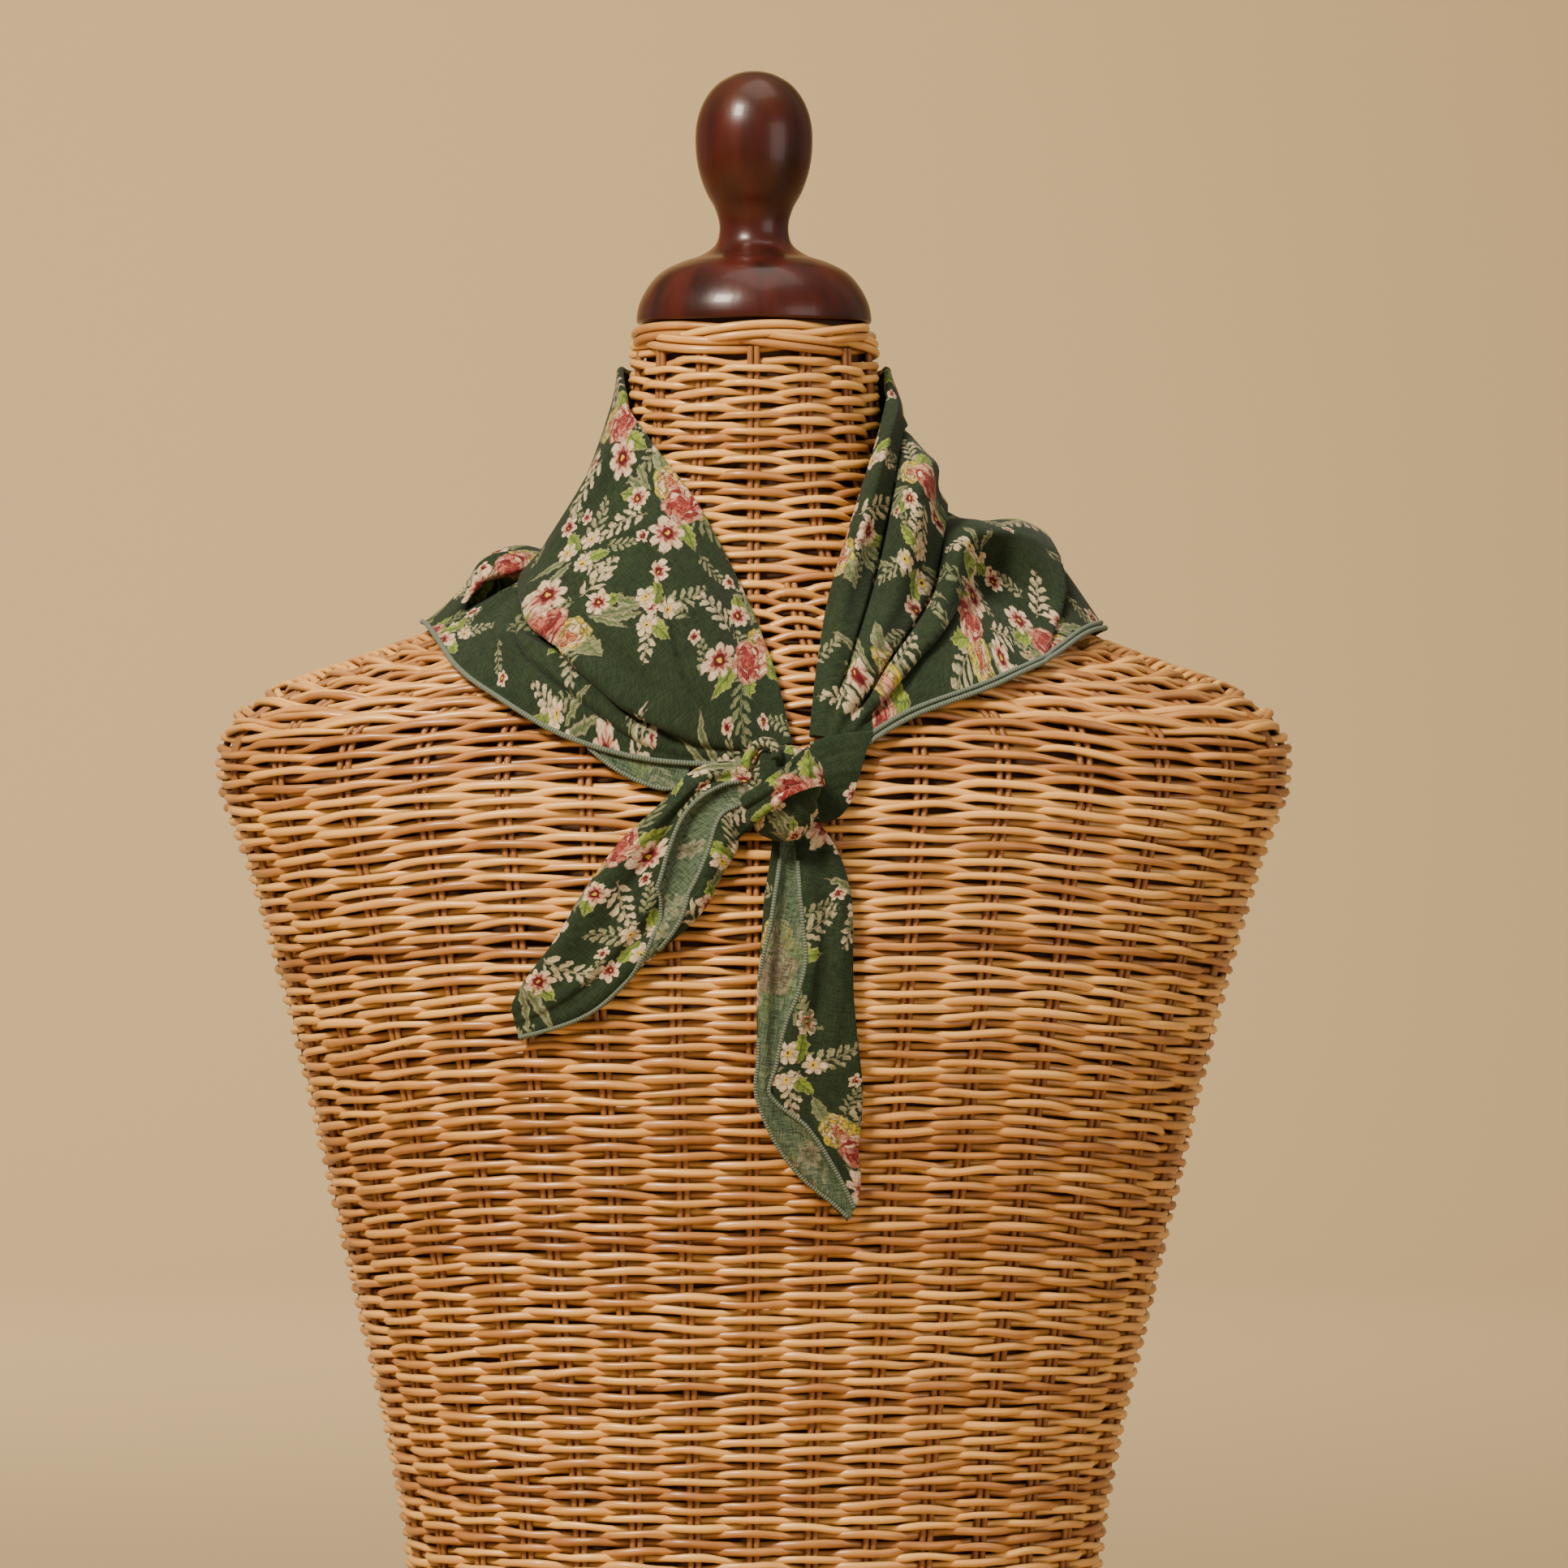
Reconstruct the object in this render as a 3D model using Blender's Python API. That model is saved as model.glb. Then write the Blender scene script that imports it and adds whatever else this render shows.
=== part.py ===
"""Square scarf folded to a triangle and knotted at the front of a wicker dress form.

Units are metres in the model and millimetres in the tables below. +Z is up, the
front faces -Y, and the origin is the middle of the form's flat base.
"""
import math

import bpy
import numpy as np

MM = 0.001

# Scarf cloth
CLOTH_WALL = 1.8          # folded cloth of the wrap, as one wall
TAIL_WALL = 1.3           # cloth of the loose ends
FLAP_WALL = 1.0           # under layer below the left hem
LEAST_WALL = 1.0          # where a fold is too tight for the full wall
CLOTH_CLEARANCE = 0.8     # from the form's surface to the inner face
SEAM_GAP = 0.6            # between two stretches of the wrap
PIECE_GAP = 0.3           # between pieces that lie face to face

# Dress form: height, half width, front depth, back depth, squareness
FORM_SECTIONS = (
    (0, 164, 112, 116, 2.2),
    (60, 156, 107, 112, 2.2),
    (125, 137, 94, 92, 2.2),
    (165, 136, 88, 83, 2.2),
    (207, 142, 90, 80, 2.2),
    (252, 152, 94, 82, 2.2),
    (317, 167, 103, 88, 2.2),
    (384, 183, 112, 97, 2.2),
    (440, 199, 107, 102, 2.2),
    (472, 209.5, 100, 100, 2.3),
    (484, 209.5, 96, 97, 2.3),
    (494, 206, 92, 93, 2.3),
    (502, 198, 88, 89, 2.2),
    (508, 187, 84.5, 85.5, 2.1),
    (515, 167, 80, 80, 2.0),
    (522, 147, 75, 74, 2.0),
    (530, 125, 69.5, 68, 2.0),
    (538, 106, 64.5, 62.5, 2.0),
    (548, 88, 59.5, 57.5, 2.0),
    (562, 70, 55, 53.5, 2.0),
    (580, 58.5, 52, 51, 2.0),
    (602, 52, 50.3, 49.8, 2.0),
    (634.5, 49.3, 49, 49, 2.0),
)
FORM_SIDES = 48
FORM_STEPS = (0, 30, 60, 92, 125, 165, 207, 252, 300, 345, 384, 415, 440, 458, 472, 484,
              494, 502, 508, 515, 522, 530, 538, 546, 555, 566, 580, 600, 634.5)
NECK_PLUG_RADIUS = 36.0
NECK_PLUG_TOP = 648.8

# Braided rim round the neck's top
RIM_INNER = 36.4
RIM_OUTER = 49.8
RIM_BOTTOM = 634.8
RIM_TOP = 648.8
RIM_ROUNDING = 4.5
RIM_SIDES = 40
RIM_CORNER_STEPS = 3

# Turned finial: radius, height
FINIAL_PROFILE = (
    (8.0, 746.2), (14.5, 742.3), (19.5, 735.8), (22.3, 727.5), (22.8, 719.0),
    (21.6, 709.0), (18.5, 700.0), (15.0, 693.5), (13.4, 686.5), (14.6, 680.5),
    (20.5, 675.8), (28.5, 673.0), (36.5, 668.8), (42.3, 661.8), (45.2, 655.0),
    (45.8, 650.4),
)
FINIAL_TOP = 747.6
FINIAL_BOTTOM = 649.1
FINIAL_SIDES = 32

# The wrap, in 9 lines across the cloth from the neck fold to the hem.
# Each point is across (x), height (z) and how far forward: on a "chest" row from
# the form's surface, on a "free" row from the neck's axis.
# Lines: neck fold, slope, crest, border, trough, ridge, panel, lower panel, hem
LEFT_ROWS = (
    ("chest", (13, 485, 3.4), (11, 484.5, 3.6), (9, 484, 3.6), (7, 483, 3.6), (5, 482, 3.6),
     (3.5, 481, 3.6), (2, 480, 3.6), (0.5, 478.5, 3.6), (-1, 477, 3.6)),
    ("chest", (5, 518, 3), (-4, 514, 9), (-17, 506, 15), (-31, 492, 12), (-33, 488, 6.5),
     (-36, 486, 7), (-38, 484, 6.5), (-40, 482, 5), (-41, 479, 4)),
    ("chest", (-5, 544, 3), (-13, 541, 13), (-31, 528, 23), (-56, 513, 15), (-57, 509, 6),
     (-62, 507, 10), (-66, 501, 9), (-69, 495, 6), (-72, 488, 3.8)),
    ("chest", (-21, 575, 3), (-30, 569, 14), (-48, 552, 26), (-76, 531, 20), (-77, 526, 7),
     (-84, 524, 12), (-89, 518, 11), (-94, 511, 7), (-99, 503, 3)),
    ("free", (-40, 601, 36), (-48, 591, 41), (-62, 571, 48), (-85, 546, 52), (-83, 541, 40),
     (-90, 541, 42), (-98, 534, 46), (-106, 524, 54), (-113, 513, 65)),
    ("free", (-46, 615, 22), (-53, 604, 32), (-67, 582, 37), (-84, 557, 27), (-88, 547, 19),
     (-97, 542, 19), (-106, 537, 20), (-113, 530, 27), (-120, 521, 42)),
    ("free", (-48, 623, 12), (-55, 611, 17), (-65, 588, 19), (-77, 566, 13), (-84, 557, 12),
     (-93, 553, 19), (-103, 551, 20), (-113, 541, 21), (-125, 527, 20)),
    ("free", (-50, 630, 0), (-56, 615, 0), (-65, 589, -2), (-75, 567, -6), (-80, 560, -4),
     (-92, 562, 2), (-104, 558, 2), (-116, 543, 0), (-128, 530, 0)),
)
RIGHT_ROWS = (
    ("free", (51, 630, 0), (57, 619, 0), (59, 608, 0), (68, 596, -2), (74, 578, -6),
     (85, 572, -2), (105, 572, 2), (117, 557, 2), (136, 529, 0)),
    ("free", (49, 612, 20), (54, 610, 28), (57, 605, 18), (66, 592, 38), (74, 571, 26),
     (87, 570, 36), (103, 563, 29), (117, 547, 25), (130, 526, 24)),
    ("free", (41, 583, 40), (47, 586, 51), (53, 584, 40), (63, 578, 56), (72, 564, 40),
     (81, 561, 48), (90, 549, 30), (103, 534, 40), (115, 517, 57)),
    ("chest", (32, 552, 3), (38, 554, 13), (46, 551, 6), (56, 548, 19), (67, 543, 8),
     (73, 538, 17), (79, 530, 6), (86, 519, 6), (94, 507, 3)),
    ("chest", (26, 521, 3), (31, 520, 9), (36, 518, 6), (41, 515, 13), (46, 511, 7),
     (50, 508, 10), (53, 504, 6), (56, 499, 5), (59, 494, 3)),
    ("chest", (23, 488, 3), (25, 488, 3.8), (27, 487.5, 3.8), (29.5, 487, 4.2), (32, 486.5, 4),
     (34.5, 486, 4), (37, 485.5, 3.5), (40, 485, 3.2), (43, 484.5, 3)),
)
# Middle of the back, radius and height on the same 9 lines
BACK_MIDDLE = ((53, 630), (59, 618), (62, 600), (70, 580), (72, 562), (84, 541),
               (95, 505), (105, 430), (97, 343))
BACK_ANGLES = (18, 36, 54, 72, 90)        # from the side to the middle, in degrees
BACK_HEM_SHARE = (0.05, 0.16, 0.36, 0.64, 1.0)
BACK_FOLD = 3.5                           # swing of the folds that fall down the back
BACK_FOLD_BY_LINE = (0.0, 0.1, 0.3, 0.6, 0.9, 1.0, 1.0, 0.8, 0.5)

# Tails, in 9 lines across; each row is its stand-off from the form and the share of the
# folds that it keeps, then across and height of each point
# Lines: fold edge, roll, valley, first hem, dip, wrong side, second hem, far roll, far edge
LEFT_TAIL_FOLDS = (-2.4, 3.4, -0.6, 2.4, -1.6, -1.4, 1.2, 1.0, -2.4)
LEFT_TAIL_ROWS = (
    ((5.6, 0.1), (4, 475), (4, 473), (4, 471), (4, 469), (4, 467), (4, 465), (3, 462),
     (2, 459), (2, 456)),
    ((6.8, 0.4), (-12, 478), (-11, 475), (-10, 472.5), (-9.5, 470), (-9, 467), (-8, 464),
     (-7, 461), (-6, 456), (-5, 451)),
    ((8.0, 0.7), (-22, 475), (-20, 471), (-19, 468.5), (-18, 466), (-16, 463), (-14, 460.5),
     (-11, 459), (-9, 453), (-6, 447)),
    ((8.0, 0.9), (-36, 461), (-33, 459), (-30, 457), (-26, 458), (-23.5, 456), (-19, 454),
     (-14, 454), (-11, 448), (-8, 443)),
    ((7.5, 1.0), (-48, 450), (-44, 447), (-38, 444), (-31, 447), (-28, 445), (-23, 443),
     (-17, 444), (-14, 440), (-12, 436)),
    ((6.8, 0.9), (-61, 433), (-57, 431), (-47, 428), (-36, 431), (-32, 429), (-27.5, 428),
     (-24, 429), (-20, 427), (-18, 424)),
    ((5.8, 0.5), (-75, 410), (-71, 409), (-61, 406), (-53, 407), (-50, 405.5), (-48, 404.5),
     (-46, 403.5), (-43.5, 402.5), (-41.5, 402)),
    ((4.8, 0.35), (-86, 395), (-83, 394), (-78, 391), (-73, 389), (-71, 387.5), (-69, 386.3),
     (-67, 385), (-65, 384), (-62.5, 383)),
    ((4.0, 0.1), (-91, 385), (-90.5, 383.5), (-90, 382), (-89.6, 380.5), (-89.3, 379.3),
     (-89, 378.1), (-88.7, 376.9), (-88.4, 375.7), (-88, 374.5)),
)
# Lines: fold edge, first hem, dip, wrong side, second hem, roll, valley, crest, far edge
RIGHT_TAIL_FOLDS = (-2.2, 2.4, -1.6, -1.4, 2.2, 3.0, -0.8, 0.8, -2.2)
RIGHT_TAIL_ROWS = (
    ((3.6, 0.1), (9, 456), (10.5, 456), (12, 456), (13.5, 456), (15, 456), (17, 456), (19, 456),
     (21, 456), (23, 456)),
    ((6.2, 0.5), (7, 441), (10, 440), (12, 439), (14, 439), (17, 439.5), (20, 440.5), (25, 441),
     (29, 442), (32, 443)),
    ((7.2, 0.8), (5, 429), (8.5, 428), (11, 427.5), (14, 427.5), (18, 428.5), (22, 430),
     (28, 430.5), (33, 431), (36, 431)),
    ((7.0, 0.8), (4, 417), (7, 416), (10, 415), (14, 415), (19, 416.5), (23, 417.5), (28, 418.5),
     (33, 419), (37, 419)),
    ((6.6, 0.8), (3, 405), (6, 404), (9, 403), (14, 403), (20, 404), (24, 405), (28, 405),
     (33, 405), (37, 405)),
    ((6.2, 0.7), (2, 391), (5, 390), (8, 389), (12, 389.5), (17, 390.5), (21, 391), (26, 390.5),
     (31.5, 390.5), (37, 391)),
    ((5.8, 0.4), (2, 365), (4.5, 364), (7, 364), (9.5, 364.5), (12, 365), (15.5, 366),
     (20.5, 366.5), (29, 366.5), (39, 367)),
    ((5.8, 0.4), (1, 355), (4, 354), (6.5, 354.5), (9, 355), (12, 356), (15.5, 357), (20.5, 358),
     (29, 357), (40, 357)),
    ((5.8, 0.5), (7, 338), (10, 339), (12.5, 341), (15, 343), (18, 345), (21, 347), (25, 348.5),
     (32, 348), (40, 347)),
    ((5.4, 0.5), (18, 322), (20.5, 323.5), (22.5, 326), (24.5, 329), (27, 332), (30, 333.5),
     (33, 334.5), (36, 333), (39, 331)),
    ((4.8, 0.2), (31, 311), (32.2, 312), (33.3, 313), (34.5, 314.5), (35.7, 316), (36.8, 317.3),
     (38, 318.6), (39, 319.8), (40, 321)),
    ((4.4, 0.1), (36, 306), (36.6, 307), (37.2, 308), (37.8, 309.1), (38.3, 310.2), (38.8, 311.3),
     (39.3, 312.5), (39.7, 313.8), (40, 315)),
)

# Under layer that shows below the left hem: across and height from hem to edge
LEFT_FLAP_STAND = 1.4
LEFT_FLAP_ROWS = (
    ((-24, 478), (-24, 475), (-25, 472), (-25, 469)),
    ((-34, 480), (-33, 475), (-32, 471), (-32, 467)),
    ((-46, 482), (-45, 478), (-43, 474), (-42, 469.5)),
    ((-57, 485), (-56, 482), (-54, 479), (-53, 475.5)),
    ((-66, 487), (-65, 486), (-63, 484.5), (-62, 483)),
)
# Fan of cloth tucked behind the knot on the right, from the knot outward
RIGHT_TUCK_ROWS = (
    ((6.8, 21.5, 485), (6.8, 21.5, 478), (6.2, 21.5, 471), (5.6, 21.5, 464), (4.8, 22, 457)),
    ((7.4, 28, 487), (7.6, 28, 479.5), (7, 27.5, 472), (5.8, 27, 464), (4, 27, 456.5)),
    ((7.2, 36, 488.5), (7.4, 35, 481), (6.6, 34, 473.5), (5.2, 33, 466), (3.5, 32.5, 458.5)),
    ((6.4, 45, 489.5), (6, 43, 483), (5.2, 41, 476.5), (4.2, 39, 470), (3, 37, 463.5)),
)

# Knot: middle (x, y, z), half sizes (x, y, z)
KNOT_MIDDLE = (11.5, -118.8, 466.5)
KNOT_HALF = (14.0, 11.0, 19.0)
KNOT_SQUARENESS = 2.4
KNOT_RINGS = 14
KNOT_SIDES = 20
# Band drawn over the knot, in degrees on its surface
BAND_TILT = 38            # from level, rising to the right
BAND_WALL = 2.2
BAND_FROM, BAND_TO = -72, 76      # along the band
BAND_LOWER = (-6, -8, -28)        # its lower edge at the left, middle and right
BAND_UPPER = (38, 36, 24)         # its upper edge at the same places
BAND_STEPS = (14, 8)
# Twist at the knot's upper left, seen from the front: across and height
TWIST_PATH = ((-0.8, 473.5), (0.6, 478.5), (3.4, 482.4), (7.0, 482.6), (9.0, 480), (9.4, 477.4))
TWIST_RADIUS = 2.2
TWIST_LIFT = 0.4          # extra, because the tube bends tighter than the knot
TWIST_STEPS = 14
TWIST_SIDES = 10


def slopes(values, knots):
    """Slope at each knot of a smooth curve through the values."""
    steps = np.diff(knots)
    shape = (-1,) + (1,) * (values.ndim - 1)
    rise = np.diff(values, axis=0) / steps.reshape(shape)
    if len(knots) == 2:
        return np.stack([rise[0], rise[0]])
    before, after = steps[:-1].reshape(shape), steps[1:].reshape(shape)
    inner = (after * rise[:-1] + before * rise[1:]) / (before + after)
    first = 1.5 * rise[0] - 0.5 * inner[0]
    last = 1.5 * rise[-1] - 0.5 * inner[-1]
    return np.concatenate([first[None], inner, last[None]])


def smooth(values, knots, where):
    """A smooth curve through the values at the knots, read at other places."""
    values, knots = np.asarray(values, float), np.asarray(knots, float)
    grade = slopes(values, knots)
    place = np.clip(np.searchsorted(knots, where, side="right") - 1, 0, len(knots) - 2)
    step = knots[place + 1] - knots[place]
    shape = (-1,) + (1,) * (values.ndim - 1)
    t = ((where - knots[place]) / step).reshape(shape)
    step = step.reshape(shape)
    start, end = values[place], values[place + 1]
    return ((2 * t**3 - 3 * t**2 + 1) * start + (t**3 - 2 * t**2 + t) * step * grade[place]
            + (3 * t**2 - 2 * t**3) * end + (t**3 - t**2) * step * grade[place + 1])


def form_sizes(height):
    """Half width, front depth, back depth and squareness of the form at a height."""
    table = np.array(FORM_SECTIONS, float)
    height = np.clip(np.asarray(height, float), table[0, 0], table[-1, 0])
    flat = smooth(table[:, 1:], table[:, 0], height.ravel())
    return [column.reshape(height.shape) for column in flat.T]


def form_radius(angle, height):
    """Distance from the neck's axis to the form, at an angle from the front."""
    half_width, front, back, power = form_sizes(height)
    depth = np.where(np.cos(angle) > 0, front, back)
    across = np.abs(np.sin(angle) / half_width) ** power
    along = np.abs(np.cos(angle) / depth) ** power
    return (across + along) ** (-1 / power)


def form_front(x, z):
    """How far the form's front stands forward at a place seen from the front."""
    half_width, front, _, power = form_sizes(z)
    share = np.clip(1 - np.abs(x / half_width) ** power, 0, 1)
    return front * share ** (1 / power)


def height_off_form(points):
    """Distance of each point from the form's surface, and the way straight out."""
    def level(p):
        angle = np.arctan2(-p[..., 0], -p[..., 1])
        return np.hypot(p[..., 0], p[..., 1]) - form_radius(angle, p[..., 2])

    here, nudge = level(points), 0.2
    way = np.stack([level(points + nudge * axis) - level(points - nudge * axis)
                    for axis in np.eye(3)], axis=-1) / (2 * nudge)
    steep = np.linalg.norm(way, axis=-1)
    return here / steep, way / steep[..., None]


def clear_of_form(points, least):
    """Points moved straight out of the form until each is at least so far off it."""
    for _ in range(5):
        off, way = height_off_form(points)
        wanted = least + np.logaddexp(0, (off - least) * 1.5) / 1.5
        move = np.where(off < least + 3, wanted - off, 0)
        points = points + way * np.clip(move, 0, 12)[..., None]
    off, way = height_off_form(points)
    return points + way * np.clip(least - off, 0, None)[..., None]


def row_points(row):
    """Points of one row of the wrap."""
    kind, points = row[0], np.array(row[1:], float)
    x, z, forward = points.T
    if kind == "chest":
        forward = forward + form_front(x, z)
    return np.stack([x, -forward, z], axis=-1)


def back_rows():
    """Rows of the wrap round the back, worked out from its two sides and its middle."""
    rows = []
    sides = (row_points(LEFT_ROWS[-1]), row_points(RIGHT_ROWS[0]))
    middle = np.array(BACK_MIDDLE, float)
    by_line = np.array(BACK_FOLD_BY_LINE)
    for side, turn in zip(sides, (1, -1)):
        start = np.stack([np.abs(side[:, 0]), side[:, 2]], axis=-1)
        made = []
        for step, (angle, hem_share) in enumerate(zip(BACK_ANGLES, BACK_HEM_SHARE)):
            share = np.full(len(middle), math.sin(math.radians(angle)) ** 2)
            down = np.linspace(0, 1, len(middle)) ** 3
            share = share * (1 - down) + hem_share * down
            radius, height = (start + (middle - start) * share[:, None]).T
            fold = BACK_FOLD * (1 if step % 2 else -0.5) * (step < 4)
            radius = radius + fold * by_line
            spread = math.radians(90 + angle)
            made.append(np.stack([-turn * radius * math.sin(spread),
                                  -radius * math.cos(spread), height], axis=-1))
        rows.append(made)
    left, right = rows
    return left + right[-2::-1]


def wrap_points(left_steps, back_steps, right_steps, across_steps):
    """Middle surface of the wrap from the knot, round the neck and back to the knot."""
    left = [row_points(row) for row in LEFT_ROWS]
    right = [row_points(row) for row in RIGHT_ROWS]
    net = np.array(left + back_rows() + right)
    net = clear_of_form(net, CLOTH_CLEARANCE + CLOTH_WALL / 2)
    last_left, middle = len(left) - 1, len(left) + len(BACK_ANGLES) - 1
    first_right = len(left) + 2 * len(BACK_ANGLES) - 1
    gaps = np.linalg.norm(np.diff(net, axis=0), axis=-1).mean(axis=1)
    knots = np.concatenate([[0], np.cumsum(gaps)])
    where = []
    for first, last, steps in ((0, last_left, left_steps), (last_left, first_right, back_steps),
                               (first_right, len(net) - 1, right_steps)):
        index = np.linspace(first, last, steps + 1)
        where.append(np.interp(index, np.arange(len(net)), knots))
    ends = (left_steps, left_steps + back_steps)
    where = np.concatenate([where[0], where[1][1:], where[2][1:]])
    rounded = smooth(net, knots, where)
    first_half = where <= knots[middle]
    cornered = np.concatenate([
        smooth(net[:middle + 1], knots[:middle + 1], where[first_half]),
        smooth(net[middle:], knots[middle:], where[~first_half])])
    corner = np.linspace(0, 1, net.shape[1])[None, :, None] ** 2
    ribs = rounded * (1 - corner) + cornered * corner
    lines = np.linspace(0, 1, net.shape[1])
    grid = smooth(ribs.transpose(1, 0, 2), lines, np.linspace(0, 1, across_steps + 1))
    return clear_of_form(grid.transpose(1, 0, 2), CLOTH_CLEARANCE + CLOTH_WALL / 2), ends


def strip_points(rows, along_steps, across_steps, least):
    """Middle surface of a strip on the chest, from rows of stand-off, across and height."""
    stand, x, z = np.moveaxis(np.array(rows, float), -1, 0)
    net = np.stack([x, -(form_front(x, z) + stand), z], axis=-1)
    gaps = np.linalg.norm(np.diff(net, axis=0), axis=-1).mean(axis=1)
    knots = np.concatenate([[0], np.cumsum(gaps)])
    where = np.interp(np.linspace(0, len(net) - 1, along_steps + 1), np.arange(len(net)), knots)
    ribs = smooth(net, knots, where)
    lines = np.linspace(0, 1, net.shape[1])
    grid = smooth(ribs.transpose(1, 0, 2), lines, np.linspace(0, 1, across_steps + 1))
    return clear_of_form(grid.transpose(1, 0, 2), least)


def tail_rows(folds, rows):
    """Rows of a tail with each point's stand-off worked out from its line and row."""
    return [[(stand + share * fold, x, z) for fold, (x, z) in zip(folds, points)]
            for (stand, share), *points in rows]


def grid_normals(grid):
    """Unit normals of a grid of points, pointing away from the form."""
    along = np.gradient(grid, axis=0)
    across = np.gradient(grid, axis=1)
    normal = np.cross(along, across)
    normal /= np.linalg.norm(normal, axis=-1)[..., None]
    normal = eased(eased(normal))
    normal /= np.linalg.norm(normal, axis=-1)[..., None]
    outward = grid - np.array([0.0, 0.0, 1.0]) * grid[..., 2:]
    if (normal * outward).sum() < 0:
        normal = -normal
    return normal


def eased(values):
    """A grid of vectors with each one averaged with its neighbours."""
    for axis in (0, 1):
        padded = np.concatenate([values.take([0], axis), values, values.take([-1], axis)], axis)
        before = padded.take(range(values.shape[axis]), axis)
        after = padded.take(range(2, values.shape[axis] + 2), axis)
        values = (before + 2 * values + after) / 4
    return values


def half_walls(grid, normals, thickness):
    """Half of the wall at each point, thinner where a fold turns too tightly for it."""
    half = np.full(grid.shape[:2], thickness / 2)
    for _ in range(8):
        for axis in (0, 1):
            edge = np.diff(grid, axis=axis)
            length = (edge * edge).sum(axis=-1)
            for side in (1, -1):
                moved = np.diff(grid + side * normals * half[..., None], axis=axis)
                tight = (moved * edge).sum(axis=-1) < 0.25 * length
                tight = np.moveaxis(tight, axis, 0)
                view = np.moveaxis(half, axis, 0)
                view[:-1][tight] *= 0.85
                view[1:][tight] *= 0.85
        half = np.clip(half, LEAST_WALL / 2, None)
    return half


def wall(name, grid, thickness, material, normals=None):
    """A cloth wall about a grid of points."""
    if normals is None:
        normals = grid_normals(grid)
    half = normals * half_walls(grid, normals, thickness)[..., None]
    outer, inner = grid + half, grid - half
    rows, columns = grid.shape[:2]
    points = np.concatenate([outer.reshape(-1, 3), inner.reshape(-1, 3)]) * MM
    index = np.arange(rows * columns).reshape(rows, columns)
    a, b, c, d = index[:-1, :-1], index[1:, :-1], index[1:, 1:], index[:-1, 1:]
    sheet = np.stack([a, b, c, d], axis=-1).reshape(-1, 4)
    under = rows * columns
    faces = [tuple(face) for face in sheet] + [tuple(under + face[::-1]) for face in sheet]
    edge = np.concatenate([index[:, 0], index[-1, 1:], index[-2::-1, -1], index[0, -2:0:-1]])
    for start, end in zip(edge, np.roll(edge, -1)):
        faces.append((start, start + under, end + under, end))
    return add_object(name, points, faces, material)


def rings_body(name, rings, material):
    """A closed body through rings of equal count, with a flat fan at each end."""
    rings = np.asarray(rings, float)
    count, sides = rings.shape[:2]
    points = np.concatenate([rings.reshape(-1, 3), rings[[0, -1]].mean(axis=1)]) * MM
    faces = []
    for ring in range(count - 1):
        for side in range(sides):
            after = (side + 1) % sides
            faces.append((ring * sides + side, ring * sides + after,
                          (ring + 1) * sides + after, (ring + 1) * sides + side))
    first, last = count * sides, count * sides + 1
    for side in range(sides):
        after = (side + 1) % sides
        faces.append((first, after, side))
        faces.append((last, (count - 1) * sides + side, (count - 1) * sides + after))
    return add_object(name, points, faces, material)


def add_object(name, points, faces, material):
    """A mesh object with its faces turned outward and shaded smooth."""
    mesh = bpy.data.meshes.new(name)
    mesh.from_pydata([tuple(map(float, point)) for point in points], [],
                     [tuple(int(i) for i in face) for face in faces])
    corners = np.array([mesh.vertices[i].co for i in range(len(mesh.vertices))])
    mesh.calc_loop_triangles()
    volume = 0.0
    for triangle in mesh.loop_triangles:
        a, b, c = corners[list(triangle.vertices)]
        volume += float(np.dot(a, np.cross(b, c)))
    if volume < 0:
        mesh.flip_normals()
    mesh.shade_smooth()
    mesh.set_sharp_from_angle(angle=math.radians(40))
    mesh.materials.append(material)
    made = bpy.data.objects.new(name, mesh)
    bpy.context.scene.collection.objects.link(made)
    return made


def finish(name, color, roughness):
    """A plain Principled material."""
    material = bpy.data.materials.new(name)
    material.use_nodes = True
    shader = material.node_tree.nodes["Principled BSDF"]
    shader.inputs["Base Color"].default_value = (*color, 1.0)
    shader.inputs["Roughness"].default_value = roughness
    shader.inputs["Metallic"].default_value = 0.0
    return material


def form_ring(height, sides):
    """One level ring of the form."""
    angle = np.arange(sides) * 2 * math.pi / sides
    radius = form_radius(angle, np.full(sides, float(height)))
    return np.stack([-radius * np.sin(angle), -radius * np.cos(angle),
                     np.full(sides, float(height))], axis=-1)


def build_form(material):
    """The limbless dress form, from its flat base to the plug inside the rim."""
    rings = [form_ring(height, FORM_SIDES) for height in FORM_STEPS]
    angle = np.arange(FORM_SIDES) * 2 * math.pi / FORM_SIDES
    for height in (FORM_STEPS[-1], NECK_PLUG_TOP):
        rings.append(np.stack([-NECK_PLUG_RADIUS * np.sin(angle),
                               -NECK_PLUG_RADIUS * np.cos(angle),
                               np.full(FORM_SIDES, float(height))], axis=-1))
    rings_body("form_torso", rings, material)


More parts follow.
